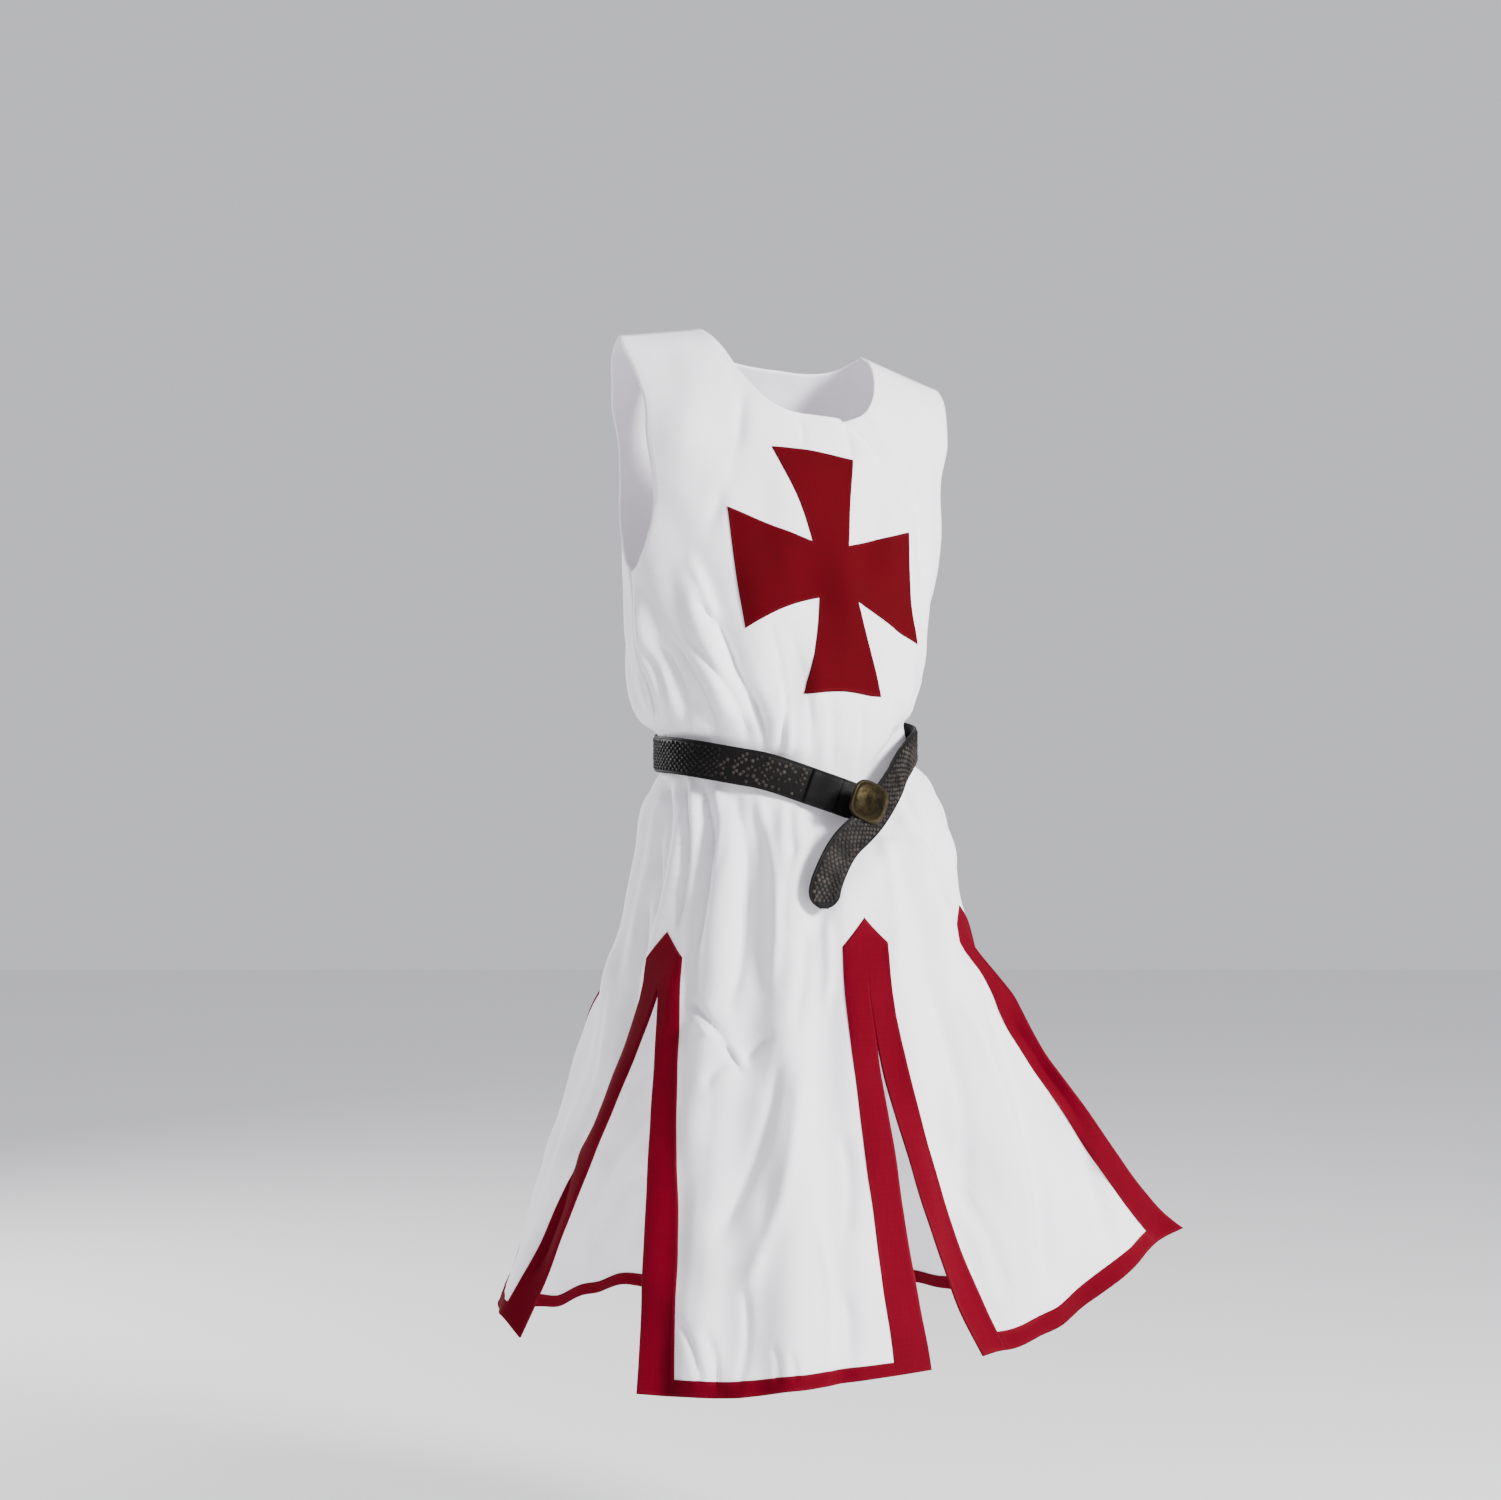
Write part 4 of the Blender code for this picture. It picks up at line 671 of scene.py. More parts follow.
@dataclass(frozen=True)
class Swing:
    """How a tongue hangs away from the body below its slits.

    Args:
        first_start: Level where the first edge comes free.
        last_start: The same for the last edge.
        first_power: How late the first edge swings.
        last_power: The same for the last edge.
        first_band: Height of the hem band at the first edge.
        last_band: The same at the last edge.
        curl: Turn of the strip's last part towards the front, in degrees.
    """

    first_start: float
    last_start: float
    first_power: float
    last_power: float
    first_band: float
    last_band: float
    curl: float = 0.0


FREE_SIDE, FREE_SLIT = -0.652, -0.685
# Ends of each strip that an armhole cuts
ARMHOLE_ENDS = {"right": (0,), "centre": (), "left": (-1,), "back": (0, -1)}
SWINGS = {
    "right": Swing(FREE_SIDE, FREE_SLIT, 1.50, 1.10, 0.017, 0.017),
    "centre": Swing(FREE_SLIT, FREE_SLIT, 1.00, 1.20, 0.0155, 0.0125),
    "left": Swing(FREE_SLIT, FREE_SIDE, 1.60, 1.80, 0.020, 0.022, -48.0),
    "back": Swing(FREE_SIDE, FREE_SIDE, 1.20, 1.20, 0.015, 0.015),
}


class Strip:
    """One strip of the cloth as a fine grid: points, lengths along the section and levels."""

    curl_start: float = 0.50
    curl_rise: float = 0.070
    curl_fall: float = 0.240

    def __init__(self, name: str, cut: Cut, figure: Figure, rows: Array, columns: Array) -> None:
        """Lays the smooth cloth of the strip.

        Args:
            name: The strip's name in the tables.
            cut: The cut.
            figure: The figure.
            rows: Fine row numbers.
            columns: Fine column numbers, minus on the wearer's right.
        """
        self.name, self.cut, self.figure = name, cut, figure
        self.rows, self.columns = rows, columns
        self.swing, self.hem = SWINGS[name], np.array(HEM_LINES[name])
        self.from_back = name == "back"
        self.drop = cut.back_drop if self.from_back else cut.front_drop
        self.s, self.z = self.flat(rows[:, None], columns[None, :])
        self.points = figure.place(self.s, self.z, self.from_back)
        self.hang()

    def levels(self, rows: Array, top: Array, band: Array) -> Array:
        """Levels of rows on columns that start at top and end in a hem band of that height."""
        cut = self.cut
        yoke = top + (cut.yoke_z - top) * np.clip(rows / cut.yoke_rows, 0, 1) ** cut.yoke_power
        count = len(cut.body_levels)
        body = np.interp(rows, np.arange(count) + cut.yoke_rows, cut.body_levels)
        free = np.clip((rows - cut.slit_row) / cut.tongue_rows, 0, 1)
        reach = cut.apex_z - cut.gable_reach
        tongue = reach + (cut.hem_z + band - reach) * free
        tongue = tongue - band * np.clip(rows - cut.last_row + 1, 0, 1)
        return np.where(rows < cut.yoke_rows, yoke, np.where(rows <= cut.slit_row, body, tongue))

    def flat(self, rows: Array, columns: Array) -> tuple[Array, Array]:
        """Lengths along the section and levels at row and column numbers.

        Args:
            rows: Row numbers.
            columns: Column numbers.

        Returns:
            Lengths and levels, in the shape that both make together.
        """
        cut, figure = self.cut, self.figure
        rows, columns = np.broadcast_arrays(np.asarray(rows, float), np.asarray(columns, float))
        positions = cut.back_columns if self.from_back else cut.front_columns
        last = cut.back_last if self.from_back else cut.front_last
        low = positions(figure, np.array(0.0))
        edge = cut.edge(self.drop, float(low[-1]), last)
        first, end = self.ends()
        swing = self.swing

        def at(number: Array, signed: Array) -> tuple[Array, Array]:
            """Levels, and lengths along the top edge, at column numbers without and with their sign."""
            share = (signed - first) / (end - first)
            band = swing.first_band + (swing.last_band - swing.first_band) * share
            top_s = np.interp(number, np.arange(last + 1), edge)
            top = cut.neckline(self.drop, top_s)
            return self.levels(rows, top, band), top_s

        number = np.abs(columns)
        lower = np.minimum(np.floor(number + 1e-9), last - 1)
        sides = []
        for whole in (lower, lower + 1):
            signed = np.where(columns < 0, -whole, whole)
            z, top_s = at(whole, signed)
            knots = positions(figure, z)
            own = np.take_along_axis(knots, whole.astype(int)[None], axis=0)[0]
            top = cut.neckline(self.drop, top_s)
            blend = np.where(whole == last, 1.0, ease((top - z) / cut.neck_blend))
            sides.append(top_s + (own - top_s) * blend)
        part = number - lower
        s = (sides[0] * (1 - part) + sides[1] * part) * np.sign(columns)
        return s, at(number, columns)[0]

    def ends(self) -> tuple[int, int]:
        """Main column numbers of the strip's two edges."""
        cut = self.cut
        return {
            "right": (-cut.front_last, -cut.slit_column),
            "centre": (-cut.slit_column, cut.slit_column),
            "left": (cut.slit_column, cut.front_last),
            "back": (-cut.back_last, cut.back_last),
        }[self.name]

    def edge_column(self, end: int) -> tuple[float, float]:
        """Column number at an end, -1 for the last one, and the sign that leads inwards from it."""
        return (self.columns[-1], -1.0) if end == -1 else (self.columns[0], 1.0)

    def hang(self) -> None:
        """Swings the tongue below the slits to the line its hem hangs on, then curls its last part."""
        swing, hem, hem_z = self.swing, self.hem, self.cut.hem_z
        share = (self.s - self.s[:, :1]) / (self.s[:, -1:] - self.s[:, :1])
        start = swing.first_start + (swing.last_start - swing.first_start) * share
        power = swing.first_power + (swing.last_power - swing.first_power) * share
        reach = np.clip((start - self.z) / (start - hem_z), 0, 1) ** power
        target = np.stack([smooth(share[-1], hem[:, 0], hem[:, k]) for k in (1, 2, 3)], axis=1)
        self.points = self.points + reach[..., None] * (target - self.points[-1])
        steps = np.diff(self.points, axis=1)
        middle = (share[:, 1:] + share[:, :-1]) / 2
        level = (self.z[:, 1:] + self.z[:, :-1]) / 2
        amount = ease((FREE_SIDE - level) / self.curl_rise) * ease((level - hem_z) / self.curl_fall)
        late = ease((middle - self.curl_start) / (1 - self.curl_start))
        turn = math.radians(swing.curl) * amount * late
        x = steps[..., 0] * np.cos(turn) - steps[..., 1] * np.sin(turn)
        y = steps[..., 0] * np.sin(turn) + steps[..., 1] * np.cos(turn)
        self.points[:, 1:] = self.points[:, :1] + np.cumsum(np.stack([x, y, steps[..., 2]], axis=2), axis=1)

    def read(self, rows: Array, columns: Array) -> tuple[Array, Array, Array]:
        """Points, normals and cut positions at row and column numbers, between the grid's own.

        Args:
            rows: Row numbers.
            columns: Column numbers.

        Returns:
            Points, outward normals and positions in the cut, in the shape that both make together.
        """
        rows, columns = np.broadcast_arrays(np.asarray(rows, float), np.asarray(columns, float))
        i = np.clip(np.searchsorted(self.rows, rows, side="right") - 1, 0, len(self.rows) - 2)
        j = np.clip(np.searchsorted(self.columns, columns, side="right") - 1, 0, len(self.columns) - 2)
        a = ((rows - self.rows[i]) / (self.rows[i + 1] - self.rows[i]))[..., None]
        b = ((columns - self.columns[j]) / (self.columns[j + 1] - self.columns[j]))[..., None]
        cut = np.stack([self.s, self.z], axis=2)
        found = []
        for grid in (self.points, self.normals, cut):
            upper = grid[i, j] * (1 - b) + grid[i, j + 1] * b
            lower = grid[i + 1, j] * (1 - b) + grid[i + 1, j + 1] * b
            found.append(upper * (1 - a) + lower * a)
        return found[0], unit(found[1]), found[2]


@dataclass
class Patch:
    """A piece of cloth before it gets its thickness.

    Args:
        points: Points of its middle surface.
        normals: Outward normals.
        flat: Positions in the cut, for the weave.
        faces: Quads by point number.
        top: Height of the outer face at each point.
        bottom: Height of the inner face at each point.
        lip: How far the edge stands out in the middle of its thickness.
        marks: Named values that the finish reads.
    """

    points: Array
    normals: Array
    flat: Array
    faces: Array
    top: Array
    bottom: Array
    lip: float = 0.0
    marks: dict[str, Array] = field(default_factory=dict)

    def border(self) -> Array:
        """Directed edges that only one face has."""
        edges = np.concatenate([self.faces[:, [k, (k + 1) % 4]] for k in range(4)])
        edges = edges[edges[:, 0] != edges[:, 1]]
        size = len(self.points) + 1
        codes = edges[:, 0] * size + edges[:, 1]
        twins = edges[:, 1] * size + edges[:, 0]
        return edges[~np.isin(codes, twins)]

    def pull(self, distance: float) -> None:
        """Moves the border inwards along the cloth by a distance, or outwards if it is minus."""
        edges = self.border()
        along = unit(self.points[edges[:, 1]] - self.points[edges[:, 0]])
        total = np.zeros_like(self.points)
        count = np.zeros(len(self.points))
        for column in (0, 1):
            inward = unit(np.cross(self.normals[edges[:, column]], along))
            np.add.at(total, edges[:, column], inward)
            np.add.at(count, edges[:, column], 1)
        size = np.linalg.norm(total, axis=1)
        moved = size > SLACK
        meet = np.maximum(0.5, size[moved] / count[moved])
        self.points[moved] += total[moved] / size[moved, None] * (distance / meet)[:, None]
        self.inward = np.zeros_like(self.points)
        self.inward[moved] = total[moved] / size[moved, None]

    def shell(self, name: str) -> Object:
        """Closed wall of the patch with soft edges.

        Args:
            name: Name of the finished object.

        Returns:
            The object, with its cut as a map for the weave.
        """
        count = len(self.points)
        edges = self.border()
        rim = np.unique(edges)
        number = np.full(count, -1)
        number[rim] = np.arange(len(rim)) + 2 * count
        outer = self.points + self.normals * self.top[:, None]
        inner = self.points + self.normals * self.bottom[:, None]
        middle = (outer[rim] + inner[rim]) / 2 - self.inward[rim] * self.lip
        a, b = edges[:, 0], edges[:, 1]
        faces = [
            self.faces,
            self.faces[:, ::-1] + count,
            np.stack([b, a, number[a], number[b]], axis=1),
            np.stack([number[b], number[a], a + count, b + count], axis=1),
        ]
        flat = np.concatenate([self.flat, self.flat, self.flat[rim]])
        marks = {key: np.concatenate([v, v, v[rim]]) for key, v in self.marks.items()}
        return make_mesh(name, np.concatenate([outer, inner, middle]), np.concatenate(faces), flat, marks)


def linked(name: str, data: bpy.types.ID) -> Object:
    """A new object of that data, in the scene."""
    obj = bpy.data.objects.new(name, data)
    bpy.context.scene.collection.objects.link(obj)
    return obj


def make_mesh(
    name: str,
    points: Array,
    faces: Iterable[Sequence[int]],
    flat: Array | None = None,
    marks: dict[str, Array] | None = None,
) -> Object:
    """Mesh object from points and faces.

    Args:
        name: Name of the object.
        points: Its points.
        faces: Point numbers of its faces; a number that repeats in a face is dropped.
        flat: Position of each point on the piece, for a map named cut.
        marks: Named values of each point.

    Returns:
        The object, at the origin and linked to the scene.
    """
    kept = []
    for face in faces:
        loop = [int(v) for k, v in enumerate(face) if v != face[k - 1]]
        if len(loop) > 2:
            kept.append(loop)
    mesh = bpy.data.meshes.new(name)
    mesh.from_pydata(points.tolist(), [], kept)
    if flat is not None:
        layer = mesh.uv_layers.new(name="cut")
        corners = np.zeros(len(mesh.loops), int)
        mesh.loops.foreach_get("vertex_index", corners)
        layer.data.foreach_set("uv", flat[corners].astype(np.float32).ravel())
    for key, values in (marks or {}).items():
        attribute = mesh.attributes.new(key, "FLOAT", "POINT")
        attribute.data.foreach_set("value", values.astype(np.float32))
    mesh.update()
    mesh.shade_smooth()
    return linked(name, mesh)


def edge_steps(low: float, high: float, count: int, near: float) -> Array:
    """Numbers from low to high, evenly spread but with closer ones at both ends.

    Args:
        low: First number.
        high: Last number.
        count: How many even steps.
        near: Distance of the closest one from each end.

    Returns:
        The rising numbers.
    """
    even = np.linspace(low, high, count + 1)[1:-1]
    ends = [low, low + near, low + 3 * near, high - 3 * near, high - near, high]
    return np.unique(np.round([*ends, *even], 9))


class Cloth:
    """The front and the back: strips, seams between them, folds and the finished shells."""

    wall: float = 0.0018
    row_step: float = 0.0048
    seam: float = 0.0006
    hem_width: float = 0.009
    hem_rise: float = 0.00045
    hem_blend: float = 0.0035
    edge_detail: int = 8
    edge_tree: KDTree | None = None
    calm_from: float = -0.930
    calm_depth: float = 0.10
    calm_most: float = 0.88
    calm_across: tuple[float, float] = (0.85, 0.30)
    shoulder_blend: float = 0.015
    shoulder_rows: float = 1.3

    def __init__(self, figure: Figure, cut: Cut, folds: Folds) -> None:
        """Lays and folds all the strips.

        Args:
            figure: The figure.
            cut: The cut.
            folds: The folds.
        """
        self.figure, self.cut, self.folds = figure, cut, folds
        rows = cut.fine_rows(self.row_step)
        slit, last = cut.slit_column, cut.front_last
        core = cut.centre_steps
        half = np.concatenate([np.arange(0, core, 0.25), np.arange(core, slit, 1 / 3), [slit]])
        middle = np.arange(slit + 2, last - 2, 0.2)
        outer = np.concatenate(
            [np.arange(slit, slit + 2, 1 / 3), middle, np.arange(last - 2, last, 1 / 3), [last]]
        )
        far = cut.back_last
        back = np.concatenate([np.arange(0, far - 2, 1 / 6), np.arange(far - 2, far, 1 / 3), [far]])
        columns = {
            "right": -outer[::-1],
            "centre": np.concatenate([-half[:0:-1], half]),
            "left": outer,
            "back": np.concatenate([-back[:0:-1], back]),
        }
        self.strips = {name: Strip(name, cut, figure, rows, found) for name, found in columns.items()}
        self.rows = rows
        self.set_normals()
        for name, strip in self.strips.items():
            height = folds.height(strip.points, strip.s, strip.z, name != "back") * self.calm_shoulder(strip)
            if name == "right":
                height = height * self.calm_end(strip)
            strip.points = strip.points + strip.normals * height[..., None]
        self.join_points()
        self.set_normals()

    def calm_shoulder(self, strip: Strip) -> Array:
        """Share of the folds that is left near the shoulder seam, where the front and the back meet."""
        beyond = ease((np.abs(strip.s[0]) - self.cut.neck_half) / self.shoulder_blend + 1)
        return 1 - beyond[None] * (1 - ease(self.rows / self.shoulder_rows))[:, None]

    def calm_end(self, strip: Strip) -> Array:
        """Share of the folds that is left near the hem on the strip's outer part, seen edge-on."""
        across = (strip.s - strip.s[:, :1]) / (strip.s[:, -1:] - strip.s[:, :1])
        low = ease((self.calm_from - strip.z) / self.calm_depth)
        start, blend = self.calm_across
        return 1 - self.calm_most * low * ease((start - across) / blend)

    def seams(self) -> list[tuple[str, tuple, str, tuple]]:
        """Places where two strips share their points: strip and index, twice."""
        cut, rows = self.cut, self.rows
        upper = np.flatnonzero(rows <= cut.slit_row + SLACK)
        side = np.flatnonzero((rows >= cut.underarm_row - SLACK) & (rows <= cut.side_row + SLACK))
        return [
            ("right", (upper, -1), "centre", (upper, 0)),
            ("centre", (upper, -1), "left", (upper, 0)),
            ("left", (side, -1), "back", (side, 0)),
            ("right", (side, 0), "back", (side, -1)),
        ]

    def join_points(self) -> None:
        """Brings the two sides of each seam to one line."""
        for a, at_a, b, at_b in self.seams():
            middle = (self.strips[a].points[at_a] + self.strips[b].points[at_b]) / 2
            self.strips[a].points[at_a] = middle
            self.strips[b].points[at_b] = middle

    def set_normals(self) -> None:
        """Normals of every strip, shared where strips meet."""
        for strip in self.strips.values():
            strip.normals = grid_normals(strip.points)
        for a, at_a, b, at_b in self.seams():
            middle = unit(self.strips[a].normals[at_a] + self.strips[b].normals[at_b])
            self.strips[a].normals[at_a] = middle
            self.strips[b].normals[at_b] = middle
        for strip in self.strips.values():
            top = strip.normals[0]
            beyond = np.abs(strip.s[0]) >= self.cut.neck_half - SLACK
            top[beyond] = unit(top[beyond] * 0.35 + np.array([0.0, 0.0, 1.0]))

    def front(self) -> Patch:
        """The front as one patch, split at the slits."""
        names = ("right", "centre", "left")
        rows = len(self.rows)
        upper = self.rows <= self.cut.slit_row + SLACK
        numbers, total = {}, 0
        for k, name in enumerate(names):
            wide = len(self.strips[name].columns)
            numbers[name] = np.arange(total, total + rows * wide).reshape(rows, wide)
            total += rows * wide
            if k:
                numbers[name][upper, 0] = numbers[names[k - 1]][upper, -1]
        return self.patch([self.strips[name] for name in names], [numbers[name] for name in names])

    def back(self) -> Patch:
        """The back as one patch."""
        strip = self.strips["back"]
        return self.patch([strip], [np.arange(strip.s.size).reshape(strip.s.shape)])

    def patch(self, strips: list[Strip], numbers: list[Array]) -> Patch:
        """One patch from strips whose points are numbered.

        Args:
            strips: The strips.
            numbers: Point number of each grid point, shared at seams.

        Returns:
            The patch, with its hems raised a little.
        """
        faces = [quads(n) for n in numbers]
        points = np.concatenate([s.points.reshape(-1, 3) for s in strips])
        normals = np.concatenate([s.normals.reshape(-1, 3) for s in strips])
        flat = np.concatenate([np.stack([s.s, s.z], axis=-1).reshape(-1, 2) for s in strips])
        hem = np.concatenate([self.hem_share(s).ravel() for s in strips])
        half = self.wall / 2
        top = half + self.hem_rise * hem
        made = Patch(points, normals, flat, np.concatenate(faces), top, np.full(len(points), -half), 0.0005)
        made.marks["hem"] = hem
        made.pull(self.seam)
        return made

    def open_edges(self) -> list[Array]:
        """Lines of the neck opening and the armholes, strip by strip."""
        found = []
        for name, strip in self.strips.items():
            found.append(strip.points[0, np.abs(strip.s[0]) <= self.cut.neck_half + SLACK])
            above = strip.z[:, 0] >= self.cut.underarm_z - SLACK
            for end in ARMHOLE_ENDS[name]:
                found.append(strip.points[above, end])
        return found

    def from_edge(self, strip: Strip) -> Array:
        """Distance of a strip's points from the neck opening or an armhole, whichever is nearer."""
        if self.edge_tree is None:
            line = []
            for edge in self.open_edges():
                if len(edge) > 1:
                    at = np.linspace(0, len(edge) - 1, self.edge_detail * len(edge))
                    line.append(along_line(at, np.arange(len(edge)), edge))
            points = np.concatenate(line)
            self.edge_tree = KDTree(len(points))
            for k, point in enumerate(points):
                self.edge_tree.insert(point, k)
            self.edge_tree.balance()
        far = np.full(strip.s.shape, 1.0)
        rows = np.flatnonzero(strip.z.max(axis=1) > self.cut.underarm_z - 4 * self.hem_width)
        for i in rows:
            far[i] = [self.edge_tree.find(point)[2] for point in strip.points[i]]
        return far

    def hem_share(self, strip: Strip) -> Array:
        """Where the cloth is turned under along the neck and the armholes."""
        return 1 - ease((self.from_edge(strip) - self.hem_width) / self.hem_blend)


@dataclass
class Trims:
    """Red facings, hem bands and cross, each laid on the cloth as a thin piece with turned edges.

    Args:
        cloth: The folded cloth.
        gap: Air between the cloth and a piece on it.
        wall: Thickness of a piece.
        beyond: How far a piece stands past the cloth's edge.
        lip_depth: How far down a free edge reaches.
        bite: How far the underside reaches into the gap.
        soft_row: Rows over which an edge across the rows is rounded.
        soft_column: Columns over which an edge down a facing is rounded.
        soft_end: Columns over which the ends of a band are rounded.
        soft_gable: How steeply a gable's edge is rounded.
    """

    cloth: Cloth
    gap: float = 0.0004
    wall: float = 0.0012
    beyond: float = 0.0003
    lip_depth: float = -0.0009
    bite: float = 0.0001
    soft_row: float = 0.12
    soft_column: float = 0.10
    soft_end: float = 0.08
    soft_gable: float = 14.0

    @property
    def low(self) -> float:
        """Height of the underside over the cloth's middle surface."""
        return self.cloth.wall / 2 + self.gap

    def raised(self, near: Array) -> Array:
        """Height of the outer face, from how near an edge is: 0 at the edge and 1 well inside."""
        return self.low + self.wall * (0.35 + 0.65 * np.sqrt(1 - (1 - np.clip(near, 0, 1)) ** 2))

    def facing(self, first: tuple[str, int], second: tuple[str, int], split: float) -> Patch:
        """A gabled facing over one slit.

        Args:
            first: Strip on the slit's right-hand side and the end of it, -1 for its last column.
            second: Strip on the other side and its end.
            split: Row number where the slit opens.

        Returns:
            The patch.
        """
        cut = self.cloth.cut
        across = edge_steps(0.0, 2.0, 8, 0.03)
        upper = np.array([0.0, 0.04, 0.12, 0.3, 0.5, 0.7, 0.85, 1.0])
        free = cut.last_row - split
        lower = np.unique(np.round([*np.linspace(0, 1, 72), 1 - 0.06 / free, 1 - 0.18 / free], 9))[1:]
        near_inner = np.minimum((2.0 - across) / self.soft_column, FAR)
        parts = []
        for strip_name, end in (first, second):
            strip = self.cloth.strips[strip_name]
            base, sign = strip.edge_column(end)
            columns = base + sign * across
            top = cut.apex_row + across
            bend = split + across * 0.6
            rows = np.concatenate(
                [
                    top[None] + (bend - top)[None] * upper[:, None],
                    bend[None] + (cut.last_row - bend)[None] * lower[:, None],
                ]
            )
            points, normals, flat = strip.read(rows, np.broadcast_to(columns[None], rows.shape))
            near_top = np.concatenate([upper * self.soft_gable, np.full(len(lower), FAR)])
            near_hem = np.concatenate([np.full(len(upper), FAR), (1 - lower) * free / self.soft_row])
            below = np.concatenate([np.zeros(len(upper), bool), np.ones(len(lower), bool)])
            near_slit = np.where(below[:, None], across[None] / self.soft_column, FAR)
            near = np.minimum(near_top, near_hem)[:, None]
            near = np.minimum(near, np.minimum(near_inner[None], near_slit))
            edge = (near_slit < 0.01) | (near_hem < 0.01)[:, None]
            if end == -1:
                points, normals, flat, near, edge = (
                    grid[:, ::-1] for grid in (points, normals, flat, near, edge)
                )
            parts.append((points, normals, flat, near, edge))
        wide, tall = len(across), len(upper) + len(lower)
        left = np.arange(tall * wide).reshape(tall, wide)
        right = left + tall * wide
        right[: len(upper), 0] = left[: len(upper), -1]
        return self.joined(parts, [left, right])

    def joined(self, parts: list[tuple], numbers: list[Array]) -> Patch:
        """One patch from grids whose points are numbered, with lips where an edge hangs free.

        Args:
            parts: Points, normals, cut positions, nearness of an edge and free edges, of each grid.
            numbers: Point number of each grid point.

        Returns:
            The patch.
        """
        points, normals, flat, near, edge = (
            np.concatenate([grid.reshape(-1, *grid.shape[2:]) for grid in grids]) for grids in zip(*parts)
        )
        faces = np.concatenate([quads(n) for n in numbers])
        bottom = np.where(edge, self.lip_depth, self.low - self.bite)
        made = Patch(points, normals, flat, faces, self.raised(near), bottom, 0.0)
        made.marks["edge"] = edge_mark(near)
        made.pull(-self.beyond)
        return made

    def hem_band(self, name: str, side: Side) -> Patch:
        """The band along a strip's hem between its facings.

        Args:
            name: Name of the strip.
            side: Outside, or turned up inside.

        Returns:
            The patch.
        """
        cut, strip = self.cloth.cut, self.cloth.strips[name]
        beside = 2.0 if side is Side.OUTSIDE else 0.04
        first, last = strip.columns[0] + beside, strip.columns[-1] - beside
        columns = edge_steps(first, last, int((last - first) * 6), 0.03)
        rows = np.array([0.0, 0.04, 0.12, 0.3, 0.5, 0.7, 0.88, 0.96, 1.0]) + cut.last_row - 1
        points, normals, flat = strip.read(rows[:, None], columns[None, :])
        near_row = np.minimum(rows - rows[0], rows[-1] - rows) / self.soft_row
        near_column = np.minimum(columns - first, last - columns) / self.soft_end
        near = np.minimum(near_row[:, None], near_column[None])
        edge = np.broadcast_to((rows >= cut.last_row - SLACK)[:, None], near.shape)
        numbers = np.arange(near.size).reshape(near.shape)
        made = self.joined([(points, normals, flat, near, edge)], [numbers])
        if side is Side.INSIDE:
            made.top, made.bottom = -made.bottom, -made.top
            made.top[edge.ravel()] = -self.low
        return made


